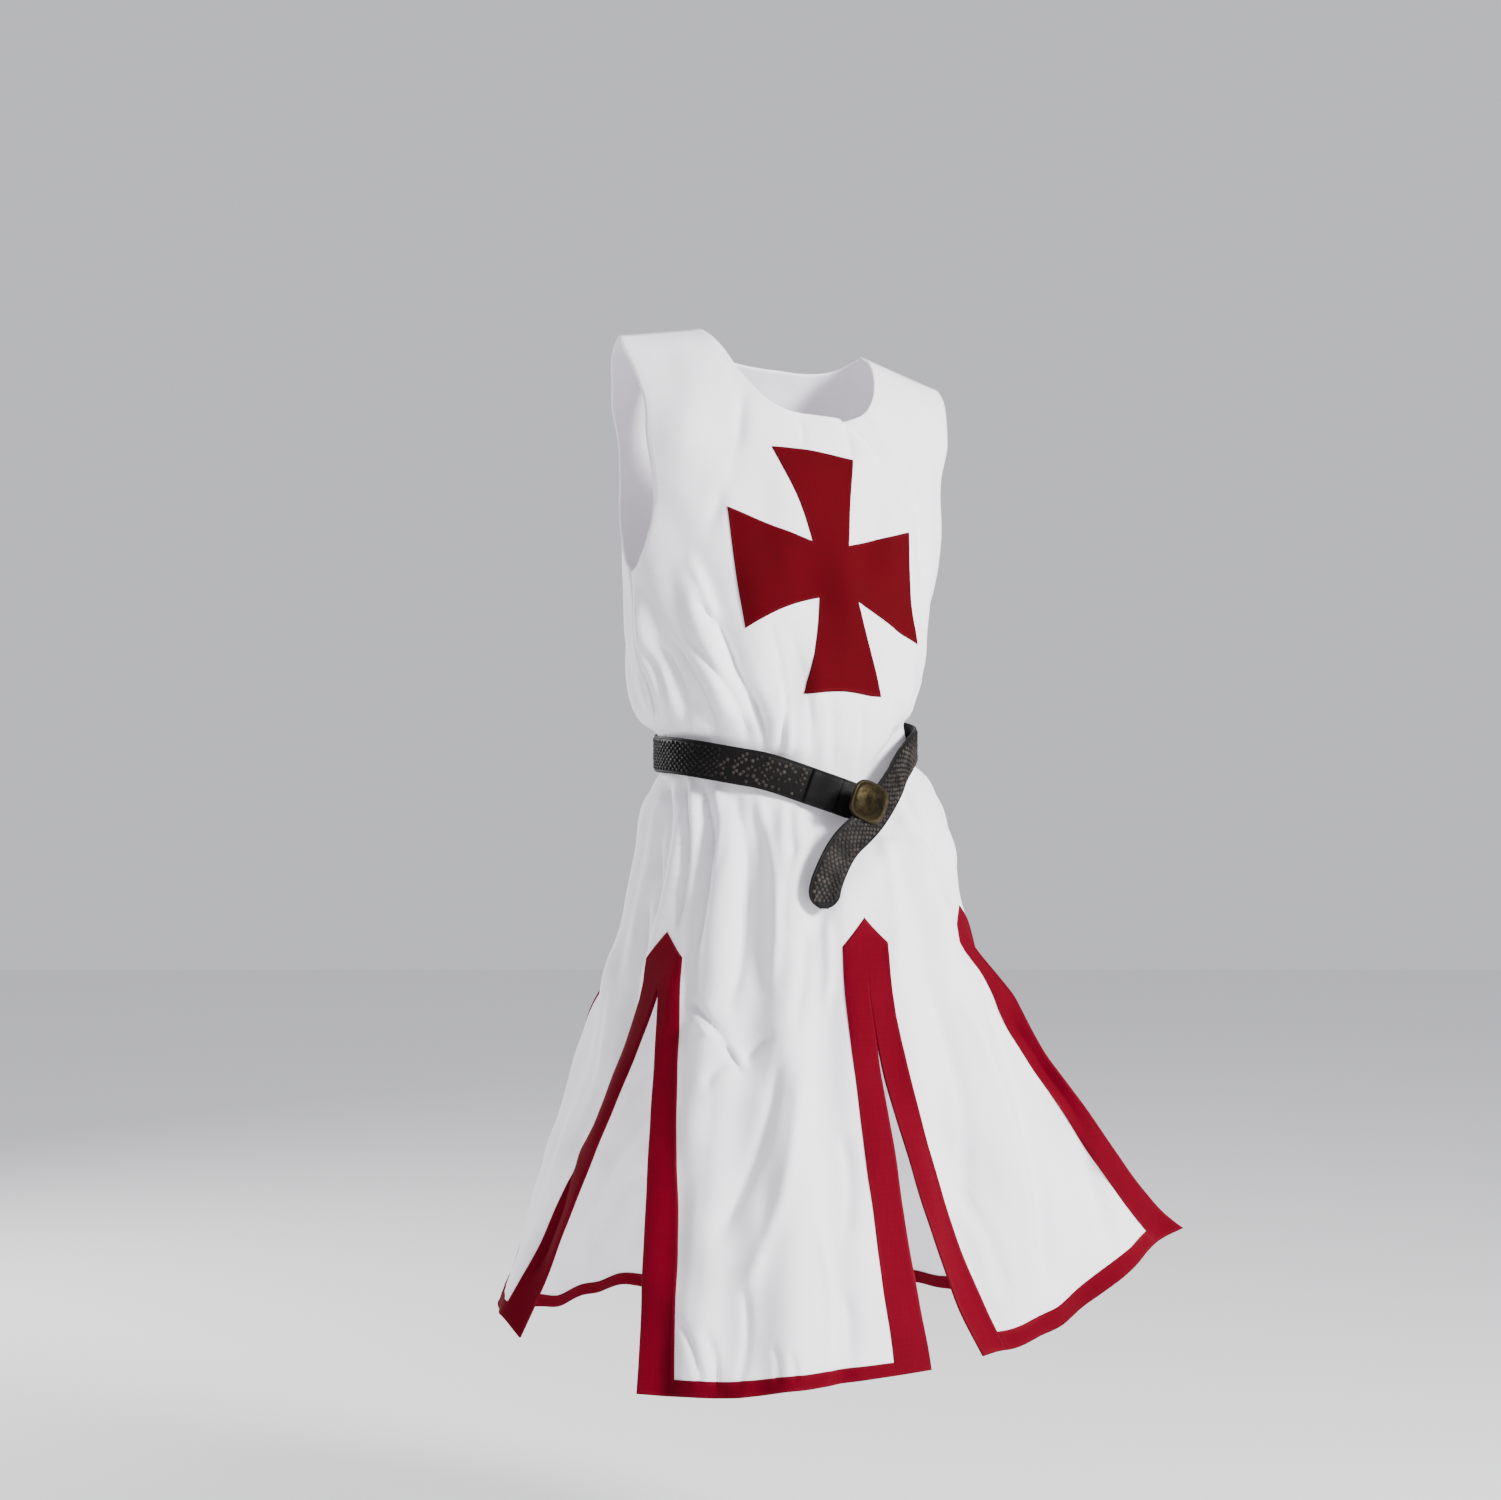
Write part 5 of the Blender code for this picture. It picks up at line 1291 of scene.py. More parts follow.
@dataclass
class Cross:
    """The chest cross with flared arms, in the cloth's own widths and levels."""

    trims: Trims
    z: float = -0.256
    s: float = -0.0035
    half_width: float = 0.1075
    half_height: float = 0.124
    arm_upper: float = 0.0555
    arm_lower: float = 0.0665
    post_end: float = 0.0475
    arm_root: float = 0.029
    post_root: float = 0.021
    bows: tuple[tuple[float, float], ...] = (
        (0.0, -0.0010),
        (0.0016, 0.0016),
        (0.0045, 0.0016),
        (0.0016, 0.0016),
    )
    sinks: tuple[float, ...] = (0.0030, 0.0045, -0.0015, -0.0020)
    steps: int = 22
    soft_edge: float = 0.0013
    probe: float = 0.0008

    def outline(self) -> Array:
        """Corners of the cross, anticlockwise from the upper right corner of its middle."""
        w, h, a, p = self.half_width, self.half_height, self.arm_root, self.post_root
        e, up, low = self.post_end, self.arm_upper, self.arm_lower
        right = [(p, a), (w, up), (w, -low), (p, -a)]
        foot = [(p, -a), (e, -h), (-e, -h), (-p, -a)]
        left = [(-p, -a), (-w, -low), (-w, up), (-p, a)]
        head = [(-p, a), (-e, h), (e, h), (p, a)]
        return np.array([right, foot, left, head])

    def spots(self, arm: int, u: Array, v: Array) -> Array:
        """Flat points of one arm.

        Args:
            arm: Its number in the outline.
            u: Shares across the arm.
            v: Shares from its root to its end, one for each share across.

        Returns:
            The points.
        """
        a, b, c, d = self.outline()[arm]
        first, last = self.bows[arm]
        outward = unit((b + c) / 2 - (a + d) / 2)
        root = a + (d - a) * u[..., None]
        end = b + (c - b) * u[..., None] - outward * (self.sinks[arm] * np.sin(u * math.pi))[..., None]
        found = root + (end - root) * v[..., None]
        pinch = np.sin(v * math.pi) * (first * (1 - u) - last * u)
        found = found + unit(d - a) * pinch[..., None]
        if abs(outward[1]) > abs(outward[0]):
            found[..., 0] -= self.drift(found[..., 1], float(a[1]), float(b[1]))
        return found

    def drift(self, y: Array, root: float, end: float) -> Array:
        """How far the cloth's centre line leaves the straight line along an upright arm.

        Args:
            y: Heights on the cross.
            root: Height of the arm's root.
            end: Height of its end.

        Returns:
            Distances towards the wearer's left.
        """
        share = (y - root) / (end - root)
        first, last = section("shift", root + self.z), section("shift", end + self.z)
        return section("shift", y + self.z) - first - (last - first) * share

    def worn(self, flat: Array) -> tuple[Array, Array]:
        """Points and normals of the folded cloth at flat positions of the chest."""
        cloth, step = self.trims.cloth, self.probe
        place = cloth.figure.place

        def folded(s: Array, z: Array) -> Array:
            """Points of the cloth with its folds."""
            across = place(s + step, z) - place(s - step, z)
            down = place(s, z - step) - place(s, z + step)
            base = place(s, z)
            height = cloth.folds.height(base, s, z, True)
            return base + unit(np.cross(down, across)) * height[..., None]

        s, z = flat[..., 0], flat[..., 1]
        across = folded(s + step, z) - folded(s - step, z)
        down = folded(s, z - step) - folded(s, z + step)
        return folded(s, z), unit(np.cross(down, across))

    def patch(self) -> Patch:
        """The whole cross as one patch."""
        u = edge_steps(0.0, 1.0, self.steps, 0.012)
        v = edge_steps(0.0, 1.0, self.steps, 0.006)
        grids, nears = [], []
        near_u = np.minimum(u, 1 - u)
        for arm, corners in enumerate(self.outline()):
            grids.append(self.spots(arm, *np.meshgrid(u, v)))
            end, root = np.linalg.norm(corners[1] - corners[2]), np.linalg.norm(corners[0] - corners[3])
            wide = end * v + root * (1 - v)
            side = near_u[None] * wide[:, None]
            end = (1 - v)[:, None] * np.linalg.norm(corners[1] - corners[0])
            nears.append(np.minimum(side, end) / self.soft_edge)
        p, a = self.post_root, self.arm_root
        x, y = (2 * u - 1) * p, (1 - 2 * u) * a
        middle = np.stack(np.meshgrid(x, y), axis=-1)
        grids.append(middle[::-1])
        corner = np.hypot(p - np.abs(middle[..., 0]), a - np.abs(middle[..., 1])) / self.soft_edge
        nears.append(corner[::-1])
        flat = np.concatenate([g.reshape(-1, 2) for g in grids]) + np.array([self.s, self.z])
        near = np.concatenate([n.ravel() for n in nears])
        faces, start = [], 0
        for grid in grids:
            n = np.arange(grid.shape[0] * grid.shape[1]).reshape(grid.shape[:2]) + start
            faces.append(turned(quads(n)))
            start += n.size
        places = np.round(flat * 1e7).astype(int)
        _, first, number = np.unique(places, axis=0, return_index=True, return_inverse=True)
        faces = number.ravel()[np.concatenate(faces)]
        flat, near = flat[first], near[first]
        points, normals = self.worn(flat)
        a, b, c = (points[faces[:, k]] for k in (0, 1, 2))
        facing = np.sum(np.cross(b - a, c - a) * normals[faces[:, 0]], axis=1)
        faces[facing < 0] = faces[facing < 0][:, ::-1]
        trims = self.trims
        bottom = np.full(len(flat), trims.low - trims.bite)
        made = Patch(points, normals, flat, faces, trims.raised(near), bottom)
        made.marks["edge"] = edge_mark(near)
        made.pull(0.0)
        return made

    def seam_lines(self, inset: float) -> list[Array]:
        """Flat lines of stitching an inset from the edge, three to each arm."""
        share = np.linspace(0.0, 1.0, 40)
        lines = []
        for arm, (a, b, c, d) in enumerate(self.outline()):
            length = float(np.linalg.norm((b + c - a - d) / 2))
            root, end = float(np.linalg.norm(d - a)), float(np.linalg.norm(c - b))
            v = share - inset / length
            beside = inset / (root + (end - root) * v)
            across = inset / end + (1 - 2 * inset / end) * share
            lines.append(self.spots(arm, beside, v))
            lines.append(self.spots(arm, across, np.full(len(share), v[-1])))
            lines.append(self.spots(arm, 1 - beside, v))
        return [line + np.array([self.s, self.z]) for line in lines]


class NodeSheet:
    """Short way to build a material's or a geometry tree's nodes."""

    def __init__(self, tree: bpy.types.NodeTree) -> None:
        """Keeps the tree that the nodes go to."""
        self.tree = tree

    def add(self, kind: str, inputs: dict | None = None, **settings: object) -> bpy.types.Node:
        """Adds a node.

        Args:
            kind: Its type.
            inputs: Values or sockets by input name or number.
            settings: Its properties.

        Returns:
            The node.
        """
        node = self.tree.nodes.new(kind)
        for key, value in settings.items():
            setattr(node, key, value)
        self.feed(node, inputs or {})
        return node

    def feed(self, node: bpy.types.Node, inputs: dict) -> None:
        """Sets a node's inputs to values or sockets, by input name or number."""
        for key, value in inputs.items():
            if isinstance(value, Socket):
                self.tree.links.new(value, node.inputs[key])
            else:
                node.inputs[key].default_value = value

    def math(self, operation: str, *values: object) -> Socket:
        """Result of a Math node."""
        node = self.add("ShaderNodeMath", dict(enumerate(values)), operation=operation)
        return node.outputs[0]

    def noise(self, vector: Socket, scale: float, detail: float = 2.0, rough: float = 0.5) -> Socket:
        """Value of a Noise Texture."""
        inputs = {"Vector": vector, "Scale": scale, "Detail": detail, "Roughness": rough}
        return self.add("ShaderNodeTexNoise", inputs).outputs["Fac"]

    def scaled(self, vector: Socket, scale: Sequence[float], turn: float = 0.0) -> Socket:
        """A vector through a Mapping node."""
        inputs = {"Vector": vector, "Scale": tuple(scale), "Rotation": (0.0, 0.0, turn)}
        return self.add("ShaderNodeMapping", inputs).outputs[0]

    def spread(self, value: Socket, low: float, high: float, start: float, end: float) -> Socket:
        """A value from one range brought to another and kept inside it."""
        inputs = {"Value": value, 1: low, 2: high, 3: start, 4: end}
        return self.add("ShaderNodeMapRange", inputs, clamp=True).outputs[0]

    def tint(self, share: Socket, first: object, second: object) -> Socket:
        """Mix of two colours."""
        node = self.add("ShaderNodeMix", {"Factor": share}, data_type="RGBA")
        for key, value in ((6, first), (7, second)):
            self.feed(node, {key: value if isinstance(value, Socket) else (*value, 1.0)})
        return node.outputs[2]

    def bump(self, height: Socket, distance: float, strength: float, below: object = None) -> Socket:
        """Normal of a Bump node, over another one if given."""
        inputs = {"Height": height, "Distance": distance, "Strength": strength}
        if below is not None:
            inputs["Normal"] = below
        return self.add("ShaderNodeBump", inputs).outputs[0]


@dataclass(frozen=True)
class Finish:
    """What every finish has: a name and how rough it is."""

    name: str
    roughness: float

    def blank(self) -> tuple[Material, NodeSheet, bpy.types.Node]:
        """A new material, its nodes and its shader."""
        made = bpy.data.materials.new(self.name)
        made.use_nodes = True
        shader = made.node_tree.nodes["Principled BSDF"]
        shader.inputs["Roughness"].default_value = self.roughness
        return made, NodeSheet(made.node_tree), shader


@dataclass(frozen=True)
class WovenCloth(Finish):
    """Plain-woven cloth: yarns both ways, slubs, a broad rumple and a little unevenness of colour.

    Args:
        colour: Main colour.
        shade: Colour of its darker places.
        yarn: Distance between yarns.
        sheen: Weight of the fibre sheen.
        worn: How much lighter the edges are.
        shine: How much its surface reflects.
    """

    colour: tuple[float, float, float]
    shade: tuple[float, float, float]
    yarn: float = 0.0009
    sheen: float = 0.04
    worn: float = 0.0
    shine: float = 0.06

    def make(self) -> Material:
        """Builds the material."""
        made, sheet, shader = self.blank()
        cut = sheet.add("ShaderNodeUVMap", uv_map="cut").outputs[0]
        place = sheet.add("ShaderNodeTexCoord").outputs["Object"]
        split = sheet.add("ShaderNodeSeparateXYZ", {0: cut})
        wave = 2 * math.pi / self.yarn
        warp = sheet.math("SINE", sheet.math("MULTIPLY", split.outputs[0], wave))
        weft = sheet.math("SINE", sheet.math("MULTIPLY", split.outputs[1], wave))
        weave = sheet.math("MULTIPLY", warp, weft)
        slub_weft = sheet.noise(sheet.scaled(cut, (30.0, 900.0, 1.0)), 1.0, 2.0)
        slub_warp = sheet.noise(sheet.scaled(cut, (900.0, 30.0, 1.0)), 1.0, 2.0)
        slubs = sheet.math("ADD", slub_weft, slub_warp)
        rumple = sheet.noise(place, 42.0, 3.0, 0.55)
        broad = sheet.noise(place, 9.0, 3.0, 0.5)
        share = sheet.math("ADD", sheet.math("MULTIPLY", slubs, 0.5), sheet.math("MULTIPLY", broad, 0.6))
        colour = sheet.tint(sheet.spread(share, 0.55, 1.05, 0.0, 1.0), self.shade, self.colour)
        if self.worn > 0:
            edge = sheet.add("ShaderNodeAttribute", attribute_name="edge").outputs["Fac"]
            rubbed = sheet.math("MULTIPLY", edge, sheet.spread(broad, 0.4, 0.7, 0.2, 1.0))
            light = tuple(min(1.0, c * (1 + self.worn) + 0.02 * self.worn) for c in self.colour)
            colour = sheet.tint(sheet.math("MULTIPLY", rubbed, 0.8), colour, light)
        normal = sheet.bump(rumple, 0.0016, 0.35)
        normal = sheet.bump(slubs, 0.00025, 0.4, normal)
        normal = sheet.bump(weave, 0.00018, 0.45, normal)
        sheet.feed(shader, {"Base Color": colour, "Normal": normal, "Specular IOR Level": self.shine})
        sheet.feed(shader, {"Sheen Weight": self.sheen, "Sheen Roughness": 0.5})
        return made


@dataclass(frozen=True)
class BeltLeather(Finish):
    """Dark leather with a fine grain, rubbed along its raised places.

    Args:
        colour: Main colour.
        rubbed: Colour where it is rubbed.
        grain: Size of the grain.
        rub: How much of it is rubbed.
        shine: How much its surface reflects.
    """

    colour: tuple[float, float, float]
    rubbed: tuple[float, float, float]
    grain: float = 0.0011
    rub: float = 0.3
    shine: float = 0.12

    def make(self) -> Material:
        """Builds the material."""
        made, sheet, shader = self.blank()
        place = sheet.add("ShaderNodeTexCoord").outputs["Object"]
        cells = sheet.add("ShaderNodeTexVoronoi", {"Vector": place, "Scale": 1.0 / self.grain})
        patches = sheet.noise(place, 55.0, 4.0, 0.6)
        scuffs = sheet.noise(sheet.scaled(place, (160.0, 160.0, 520.0)), 1.0, 3.0, 0.6)
        mark = sheet.add("ShaderNodeAttribute", attribute_name="edge").outputs["Fac"]
        share = sheet.math("MULTIPLY", sheet.spread(patches, 0.42, 0.66, 0.0, 1.0), self.rub)
        scuffed = sheet.math("MULTIPLY", mark, sheet.spread(scuffs, 0.4, 0.65, 0.0, 0.7))
        share = sheet.math("ADD", share, scuffed)
        colour = sheet.tint(sheet.spread(share, 0.0, 1.0, 0.0, 1.0), self.colour, self.rubbed)
        rough = sheet.spread(scuffs, 0.3, 0.7, self.roughness - 0.08, self.roughness + 0.12)
        normal = sheet.bump(cells.outputs["Distance"], 0.00025, 0.45)
        normal = sheet.bump(scuffs, 0.0004, 0.25, normal)
        sheet.feed(shader, {"Base Color": colour, "Roughness": rough, "Normal": normal})
        sheet.feed(shader, {"Specular IOR Level": self.shine})
        return made


@dataclass(frozen=True)
class AgedBronze(Finish):
    """Antiqued bronze, dark in its low places and rubbed bright on its rim.

    Args:
        colour: Main colour.
        dark: Colour of the patina.
        bright: Colour where it is rubbed.
    """

    colour: tuple[float, float, float]
    dark: tuple[float, float, float]
    bright: tuple[float, float, float]

    def make(self) -> Material:
        """Builds the material."""
        made, sheet, shader = self.blank()
        place = sheet.add("ShaderNodeTexCoord").outputs["Object"]
        cloud = sheet.noise(place, 120.0, 4.0, 0.6)
        dents = sheet.noise(place, 330.0, 2.0, 0.5)
        rim = sheet.add("ShaderNodeAttribute", attribute_name="edge").outputs["Fac"]
        colour = sheet.tint(sheet.spread(cloud, 0.38, 0.62, 0.0, 1.0), self.dark, self.colour)
        colour = sheet.tint(sheet.math("MULTIPLY", rim, 0.75), colour, self.bright)
        rough = sheet.spread(cloud, 0.35, 0.65, self.roughness + 0.14, self.roughness - 0.08)
        normal = sheet.bump(dents, 0.0006, 0.35)
        sheet.feed(shader, {"Base Color": colour, "Roughness": rough, "Normal": normal, "Metallic": 1.0})
        return made


@dataclass
class Scatter:
    """Sets one small rounded shape at every point of a line or rows, turned to the surface.

    Args:
        length: Size along the row.
        width: Size across.
        height: Size out from the surface.
        uneven: How much their sizes differ.
        seed: Fixed seed of that difference.
        segments: Points round the shape.
        rings: Rings of the shape.
    """

    length: float
    width: float
    height: float
    uneven: float = 0.06
    seed: int = 3
    segments: int = 6
    rings: int = 4

    def tree(self, name: str, material: Material) -> tuple[bpy.types.NodeTree, dict[str, str]]:
        """The geometry tree and the identifiers of its inputs by name."""
        made = bpy.data.node_groups.new(name, "GeometryNodeTree")
        face = made.interface
        face.new_socket("Geometry", in_out="INPUT", socket_type="NodeSocketGeometry")
        keys = {}
        for key in ("Length", "Width", "Height", "Uneven"):
            keys[key] = face.new_socket(key, in_out="INPUT", socket_type="NodeSocketFloat").identifier
        keys["Seed"] = face.new_socket("Seed", in_out="INPUT", socket_type="NodeSocketInt").identifier
        face.new_socket("Geometry", in_out="OUTPUT", socket_type="NodeSocketGeometry")
        sheet = NodeSheet(made)
        given = sheet.add("NodeGroupInput").outputs
        form = {"Segments": self.segments, "Rings": self.rings, "Radius": 0.5}
        ball = sheet.add("GeometryNodeMeshUVSphere", form)
        size = sheet.add("ShaderNodeCombineXYZ", {0: given["Length"], 1: given["Width"], 2: given["Height"]})
        form = {"Geometry": ball.outputs["Mesh"], "Scale": size.outputs[0]}
        shaped = sheet.add("GeometryNodeTransform", form)
        out = sheet.add("GeometryNodeInputNamedAttribute", {"Name": "outward"}, data_type="FLOAT_VECTOR")
        run = sheet.add("GeometryNodeInputNamedAttribute", {"Name": "along"}, data_type="FLOAT_VECTOR")
        turn = sheet.add(
            "FunctionNodeAxesToRotation",
            {"Primary Axis": out.outputs[0], "Secondary Axis": run.outputs[0]},
            primary_axis="Z",
            secondary_axis="X",
        )
        limits = [sheet.math(way, 1.0, given["Uneven"]) for way in ("SUBTRACT", "ADD")]
        chance = sheet.add("FunctionNodeRandomValue", {"Seed": given["Seed"]}, data_type="FLOAT")
        numbers = [s for s in chance.inputs if s.type == "VALUE" and s.enabled]
        for limit, number in zip(limits, numbers):
            made.links.new(limit, number)
        factor = next(s for s in chance.outputs if s.type == "VALUE" and s.enabled)
        places = sheet.add(
            "GeometryNodeInstanceOnPoints",
            {
                "Points": given["Geometry"],
                "Instance": shaped.outputs[0],
                "Rotation": turn.outputs[0],
                "Scale": factor,
            },
        )
        real = sheet.add("GeometryNodeRealizeInstances", {0: places.outputs[0]})
        soft = sheet.add("GeometryNodeSetShadeSmooth", {"Geometry": real.outputs[0]})
        dressed = sheet.add("GeometryNodeSetMaterial", {"Geometry": soft.outputs[0], "Material": material})
        sheet.add("NodeGroupOutput", {0: dressed.outputs[0]})
        return made, keys

    def make(self, name: str, rows: Rows, material: Material) -> Object:
        """Builds the pieces as one plain mesh.

        Args:
            name: Name of the object.
            rows: Points, outward directions and directions along the row.
            material: Their finish.

        Returns:
            The object.
        """
        points, outward, along = rows
        mesh = bpy.data.meshes.new(name + "_points")
        mesh.from_pydata(points.tolist(), [], [])
        for key, values in (("outward", outward), ("along", along)):
            attribute = mesh.attributes.new(key, "FLOAT_VECTOR", "POINT")
            attribute.data.foreach_set("vector", values.astype(np.float32).ravel())
        seed_object = linked(name + "_points", mesh)
        tree, keys = self.tree(name + "_rows", material)
        modifier = seed_object.modifiers.new("rows", "NODES")
        modifier.node_group = tree
        sizes = {"Length": self.length, "Width": self.width, "Height": self.height, "Uneven": self.uneven}
        for key, value in sizes.items():
            modifier[keys[key]] = value
        modifier[keys["Seed"]] = self.seed
        bpy.context.view_layer.update()
        evaluated = seed_object.evaluated_get(bpy.context.evaluated_depsgraph_get())
        plain = bpy.data.meshes.new_from_object(evaluated)
        plain.name = name
        seed_object.modifiers.remove(modifier)
        bpy.data.objects.remove(seed_object)
        return linked(name, plain)


@dataclass
class Stitching:
    """Lines of stitches through the trims and hems.

    Args:
        trims: The pieces they hold.
        pitch: Distance between stitches.
        inset: Distance of a line from the edge.
        stitch: Shape of a stitch.
        row_off: Rows between a line and the edge across the rows.
        column_off: Columns between a line's ends and a facing.
        line_points: Points of a line before it is stitched.
    """

    trims: Trims
    pitch: float = 0.0034
    inset: float = 0.0024
    stitch: Scatter = field(default_factory=lambda: Scatter(0.0027, 0.0006, 0.0005))
    row_off: float = 0.16
    column_off: float = 2.05
    line_points: int = 200

    def rows(self, lines: list[tuple[Array, Array]], height: float) -> Rows:
        """Stitch places along lines on the cloth.

        Args:
            lines: Points and normals of each line.
            height: Height of the stitches over the cloth's middle surface.

        Returns:
            Points, outward directions and directions along the line.
        """
        found: list[list[Array]] = [[], [], []]
        for points, normals in lines:
            run = np.concatenate([[0], np.cumsum(np.linalg.norm(np.diff(points, axis=0), axis=1))])
            count = int(run[-1] / self.pitch)
            if count < 2:
                continue
            at = (np.arange(count) + 0.5) * run[-1] / count
            spots = along_line(at, run, points)
            out = unit(along_line(at, run, normals))
            found[0].append(spots + out * height)
            found[1].append(out)
            found[2].append(unit(np.gradient(spots, axis=0)))
        return tuple(np.concatenate(part) for part in found)

    def facing_lines(self, first: tuple[str, int], second: tuple[str, int], split: float) -> list:
        """Lines down a facing: along its gable and inner edge, and along the slit."""
        cut = self.trims.cloth.cut
        places = [cut.apex_row, cut.slit_row, cut.last_row]
        levels = [cut.apex_z, cut.apex_z - cut.gable_reach, cut.hem_z]
        lines = []
        for name, end in (first, second):
            strip = self.trims.cloth.strips[name]
            base, sign = strip.edge_column(end)
            rows = np.linspace(cut.apex_row, cut.last_row - 0.2, 260)
            step = self.inset / (cut.band(np.interp(rows, places, levels)) / 2)
            inner = np.minimum(np.maximum(rows - cut.apex_row - 0.28, 0.0), 2.0 - step)
            line = strip.read(rows + 0.02, base + sign * inner)
            keep = rows > cut.apex_row + 0.3
            lines.append((line[0][keep], line[1][keep]))
            rows = np.linspace(split + 0.1, cut.last_row - 0.2, 240)
            step = self.inset / (cut.band(np.interp(rows, places, levels)) / 2)
            line = strip.read(rows, base + sign * step)
            lines.append(line[:2])
        return lines

    def hem_lines(self, name: str) -> list:
        """Lines along the upper and the lower edge of a hem band."""
        cut, strip = self.trims.cloth.cut, self.trims.cloth.strips[name]
        first, last = strip.columns[0] + self.column_off, strip.columns[-1] - self.column_off
        columns = np.linspace(first, last, self.line_points)
        lines = []
        for row in (cut.last_row - 1 + self.row_off, cut.last_row - self.row_off):
            lines.append(strip.read(np.full(len(columns), row), columns)[:2])
        return lines

    def cross_lines(self, cross: Cross) -> list:
        """Lines round the cross."""
        return [cross.worn(line) for line in cross.seam_lines(self.inset)]

    def edge_lines(self) -> list:
        """Lines of stitches that hold the turned edges of the neck and the armholes."""
        cloth = self.trims.cloth
        lines = []
        wanted = cloth.hem_width - self.inset * 0.7
        for name, strip in cloth.strips.items():
            far = cloth.from_edge(strip)
            neck = np.flatnonzero(np.abs(strip.s[0]) < cloth.cut.neck_half * 0.97)
            if len(neck) > 3:
                down = np.maximum.accumulate(far[:, neck], axis=0)
                row = np.array([np.interp(wanted, line, strip.rows) for line in down.T])
                lines.append(strip.read(row, strip.columns[neck])[:2])
            for end in ARMHOLE_ENDS[name]:
                order = slice(None) if end == 0 else slice(None, None, -1)
                half = len(strip.columns) // 4
                keep = (strip.rows > 1.2) & (strip.z[:, end] > cloth.cut.underarm_z + 0.004)
                inwards = np.maximum.accumulate(far[keep][:, order][:, :half], axis=1)
                column = np.array([np.interp(wanted, line, strip.columns[order][:half]) for line in inwards])
                lines.append(strip.read(strip.rows[keep], column)[:2])
        return lines


@dataclass
class Belt:
    """The leather belt: a strap once round the waist with its end hanging, and its turned end.

    Args:
        figure: The figure, for the middle of the waist.
        width: Full width.
        tail_width: Width down the hanging end.
        tail_length: Length over which it narrows.
        thick: Thickness of the leather.
        tip: Length of the rounded tip.
        step: Distance between the path's points.
        fine: Distance between the finished cross sections.
        gap: Air between pieces that touch.
        mean_radius: Radius that turns the path's angles into lengths.
        tab_thick: Thickness of the turned end.
        tab_angles: Where it starts and ends round the waist, in degrees.
        tab_reach: Running length within which the turned end lies.
        rubbed_and_lit_from: Angle where the lighter pebbles start, rubbed and painted as lit; the pebbles
            beyond it get a darker finish that is painted shade.
        rubbed_and_lit_to: Angle where the lighter pebbles end.
        worn_away: Share of the pebbles that is gone in front.
        pitch: Distance between pebbles of a row.
        lines: Rows of pebbles.
        spread: Share of the width that the rows take up.
        jitter: How far a pebble may be off its place.
        seed: Fixed seed of that.
    """

    figure: Figure
    width: float = 0.039
    tail_width: float = 0.0345
    tail_length: float = 0.130
    thick: float = 0.003
    tip: float = 0.018
    step: float = 0.011
    fine: float = 0.003
    gap: float = 0.0004
    mean_radius: float = 0.125
    tab_thick: float = 0.0018
    tab_angles: tuple[float, float] = (12.2, 27.0)
    tab_reach: float = 0.15
    rubbed_and_lit_from: float = -33.0
    rubbed_and_lit_to: float = 80.0
    worn_away: float = 0.45
    pitch: float = 0.0074
    lines: int = 5
    spread: float = 0.80
    jitter: float = 0.00035
    seed: int = 11

    def __post_init__(self) -> None:
        """Finds the path of the strap over the solids of the cloth."""
        points, faces = [], []
        for name in ("front_panel", "back_panel"):
            mesh = NODES[name].data
            start = len(points)
            points += [v.co.copy() for v in mesh.vertices]
            faces += [[start + i for i in p.vertices] for p in mesh.polygons]
        self.tree = BVHTree.FromPolygons(points, faces)
        self.frames = self.path()

    def reach(self, angle: float, z: float) -> float:
        """Distance from the waist's middle to the outermost cloth."""
        turn = math.radians(angle)
        ray = Vector((math.sin(turn), -math.cos(turn), 0.0))
        start = Vector((*self.figure.belt_centre, z))
        far, gone = 0.0, 0.0
        while gone < 0.4:
            hit = self.tree.ray_cast(start + ray * (gone + 1e-5), ray, 0.4)
            if hit[0] is None:
                break
            gone += hit[3] + 1e-5
            far = gone
        return far

    def path(self) -> list[Array]:
        """Middle points, outward directions and width directions along the strap."""
        rows = np.array(STRAP_PATH)
        around = np.radians(rows[:, 0]) * self.mean_radius
        run = np.concatenate([[0], np.cumsum(np.hypot(np.diff(around), np.diff(rows[:, 1])))])
        at = np.linspace(0, run[-1], round(run[-1] / self.step) + 1)
        angle, z, lift = (smooth(at, run, rows[:, k]) for k in range(3))
        half = self.width / 2
        radius = np.array(
            [
                max(self.reach(a + side * 6, level + up * half) for side in (-1, 0, 1) for up in (-1, 0, 1))
                for a, level in zip(angle, z)
            ]
        )
        padded = np.pad(radius, 2, mode="edge")
        radius = np.array([padded[k : k + 5].max() for k in range(len(radius))])
        padded = np.pad(radius, 2, mode="edge")
        radius = np.array([padded[k : k + 5].mean() for k in range(len(radius))]) + self.gap + lift
        turn = np.radians(angle)
        out = np.stack([np.sin(turn), -np.cos(turn), np.zeros_like(turn)], axis=1)
        centre = np.array([*self.figure.belt_centre, 0.0])
        middle = centre + out * radius[:, None] + np.stack([0 * z, 0 * z, z], axis=1)
        along = unit(np.gradient(middle, axis=0))
        out = unit(out - along * np.sum(along * out, axis=1, keepdims=True))
        return [middle, out, np.cross(out, along)]

    def run(self, frames: list[Array]) -> Array:
        """Running length along the frames' middle points."""
        return np.concatenate([[0], np.cumsum(np.linalg.norm(np.diff(frames[0], axis=0), axis=1))])

    def at(self, where: Array) -> list[Array]:
        """Frames at running lengths along the strap, rounded between the path's points."""
        run = self.run(self.frames)
        found = [
            np.stack([smooth(where, run, part[:, k]) for k in range(3)], axis=1) for part in self.frames
        ]
        return [found[0], unit(found[1]), unit(found[2])]

